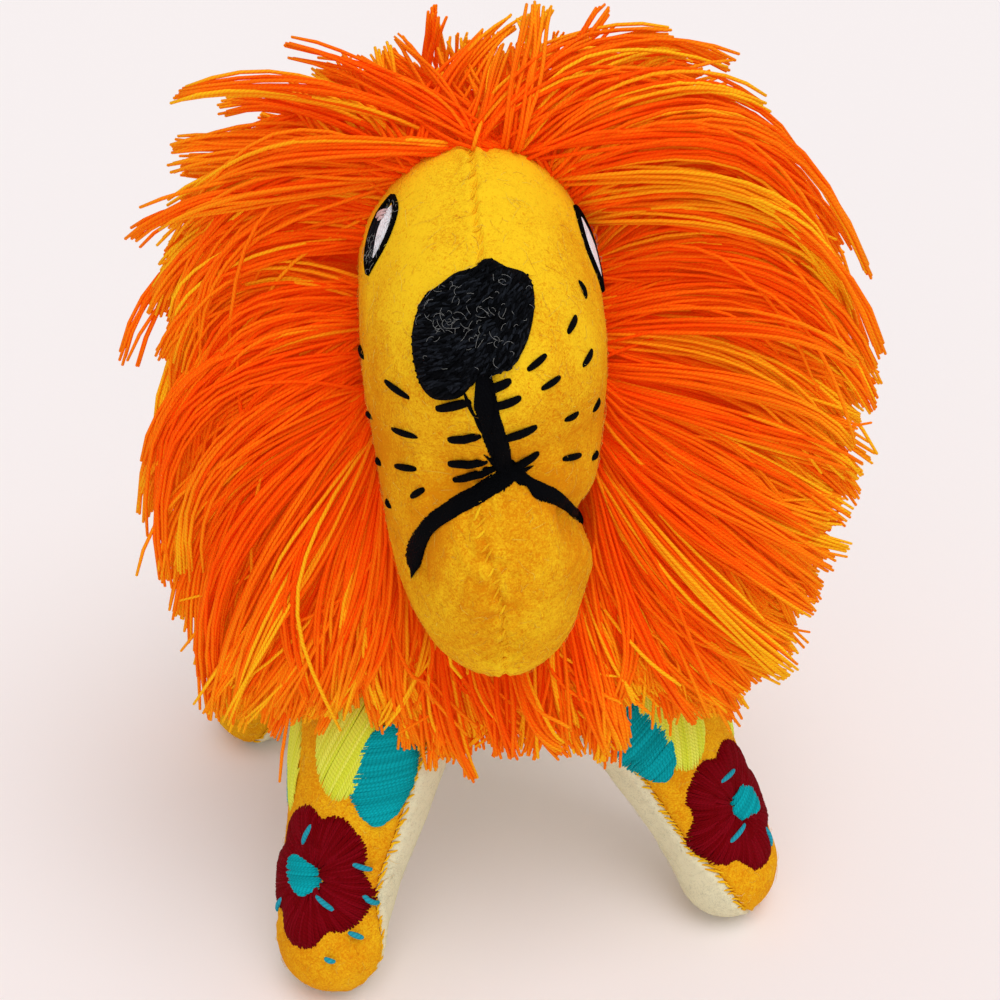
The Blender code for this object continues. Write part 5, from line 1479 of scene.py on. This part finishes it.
class LION_OT_tail(Builder, bpy.types.Operator):
    """Stub, collar of thread, stuffed tube and tuft of the tail"""

    bl_idname = "lion.tail"
    bl_label = "Tail"

    def build(self, sizes):
        low, high = (np.array(corner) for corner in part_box("tail_root"))
        axis = TAIL_PIVOT * (1, 0, 1)
        across, up = np.array((1.0, 0.0, 0.0)), np.array((0.0, 0.0, 1.0))
        ways = np.linspace(low[1] - 0.002, high[1], 14)
        turn = full_turn(36)
        size = TAIL_RADIUS * (0.92 - 0.22 * smooth_step((ways - ways[0]) / (ways[-1] - ways[0])))
        size = size[:, None] * (1 + 0.05 * np.cos(9 * turn) * np.linspace(0, 1, 14)[:, None])
        rings = np.stack([size * np.cos(turn), np.broadcast_to(ways[:, None], size.shape), size * np.sin(turn)], -1)
        piece("tail_stub", closed(rings + axis, 0.2), "gold_felt", "tail_root", fill=STUB_FILL)

        def hoop(middle, radius, first, second):
            turns = np.linspace(0, TURN, 33)[:, None]
            loop = middle + radius * (first * np.cos(turns) + second * np.sin(turns))
            return tubes(loop[None], BINDING_RADIUS, 6)

        low, high = (np.array(corner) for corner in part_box("tail_stitching"))
        reach = (high[0] - low[0]) / 2
        collar = [hoop(axis + (0, place, 0), radius, across, up)
                  for place in np.linspace(low[1] + 0.0005, high[1] - 0.0005, 2)
                  for radius in np.linspace(reach - BINDING_RADIUS, 0.0010, 5)]
        piece("tail_collar_thread", collar, "gold_thread", "tail_stitching", body="tail_collar")
        route = smooth_curve(np.array(TAIL_ROUTE_SHARES) * TAIL_DROP, TAIL_STEPS)
        ahead = unit(np.gradient(route, axis=0))
        caps = np.linspace(math.pi / 2 - 0.06, 0, 10)[:-1]
        centres = np.vstack([route[0] - ahead[0] * TAIL_RADIUS * np.sin(caps)[:, None], route])
        ways = np.vstack([np.repeat(ahead[:1], len(caps), axis=0), ahead])
        reach = np.append(TAIL_RADIUS * np.cos(caps), np.linspace(TAIL_RADIUS, TAIL_END_RADIUS, TAIL_STEPS))[:, None]
        turn = full_turn(TAIL_SIDES)
        grid = np.stack([
            reach * np.cos(turn),
            centres[:, :1] - ways[:, 1:] * reach * np.sin(turn),
            centres[:, 1:] + ways[:, :1] * reach * np.sin(turn),
        ], axis=-1) + TAIL_PIVOT
        calm = smooth_step(np.arange(len(grid)) / 14)[:, None]
        seam = -0.5 * MM * bump(np.abs((turn / TURN - 0.25) % 1 - 0.5) * 0.036, 0.9 * MM)
        swell = (0.3 * MM * lumps(grid, 0.008, 50) + seam) * calm
        piece("tail_tube", closed(grid + grid_normals(grid) * swell[..., None], 0.2), "gold_felt", "tail_felt",
              "tail_filling", body="tail", fill=PANEL_FILL)
        rng = np.random.default_rng(70)
        count, t = TUFT_STRANDS, np.linspace(0, 1, TUFT_STEPS)
        turn, out = rng.uniform(0, TURN, count)[:, None] + 0.3 * t, np.sqrt(rng.uniform(0.02, 1, count))[:, None]
        end = rng.uniform(0.80, 1.0, count)[:, None]
        swell = np.sin(math.pi * np.clip(0.12 + 0.80 * t, 0, 1))
        reach = 0.0042 * out * (1 - t) + TUFT_RADIUS * out * swell * smooth_step(t * 2.2)
        reach = reach * (1 - 0.25 * t**3)
        down = np.append(0, unit(route[-1] - route[-2]))
        other = np.cross(down, across)
        base = TAIL_PIVOT + np.append(0, route[-1]) - down * 0.002
        paths = base + down * (TUFT_LENGTH * end * t)[..., None] + across * (reach * np.cos(turn))[..., None] \
            + other * (reach * np.sin(turn))[..., None]
        tint = np.where(rng.uniform(0, 1, count) < 0.2, 0.8, rng.uniform(0, 0.3, count))
        binding = [hoop(base + down * (0.0012 + 0.0011 * k), 0.0052, across, other) for k in range(4)]
        piece("tail_tuft_yarn", [tubes(paths, sizes.yarn / 2, 5, tint=tint)] + binding, "mane_yarn", "tail_tuft",
              body="tail")


class LION_PT_panel(bpy.types.Panel):
    """Sizes, colours and the builders of the felt lion"""

    bl_idname = "LION_PT_panel"
    bl_label = "Felt Lion"
    bl_space_type = "VIEW_3D"
    bl_region_type = "UI"
    bl_category = "Felt Lion"

    def draw(self, context):
        for group in (context.scene.lion_sizes, context.scene.lion_colours):
            for name in type(group).__annotations__:
                self.layout.prop(group, name)
        for operator in OPERATORS:
            self.layout.operator(operator.bl_idname)


OPERATORS = (LION_OT_stage, LION_OT_head, LION_OT_face, LION_OT_body, LION_OT_legs, LION_OT_embroidery,
             LION_OT_mane, LION_OT_tail)
CLASSES = (LionSizes, LionColours, *OPERATORS, LION_PT_panel)


def register():
    for made in CLASSES:
        bpy.utils.register_class(made)
    bpy.types.Scene.lion_sizes = bpy.props.PointerProperty(type=LionSizes)
    bpy.types.Scene.lion_colours = bpy.props.PointerProperty(type=LionColours)


def unregister():
    del bpy.types.Scene.lion_colours
    del bpy.types.Scene.lion_sizes
    for made in reversed(CLASSES):
        bpy.utils.unregister_class(made)


def main():
    register()
    bpy.ops.lion.stage()
    bpy.ops.lion.head()
    bpy.ops.lion.face()
    bpy.ops.lion.body()
    bpy.ops.lion.legs()
    bpy.ops.lion.embroidery()
    bpy.ops.lion.mane()
    bpy.ops.lion.tail()


if __name__ == "__main__":
    main()
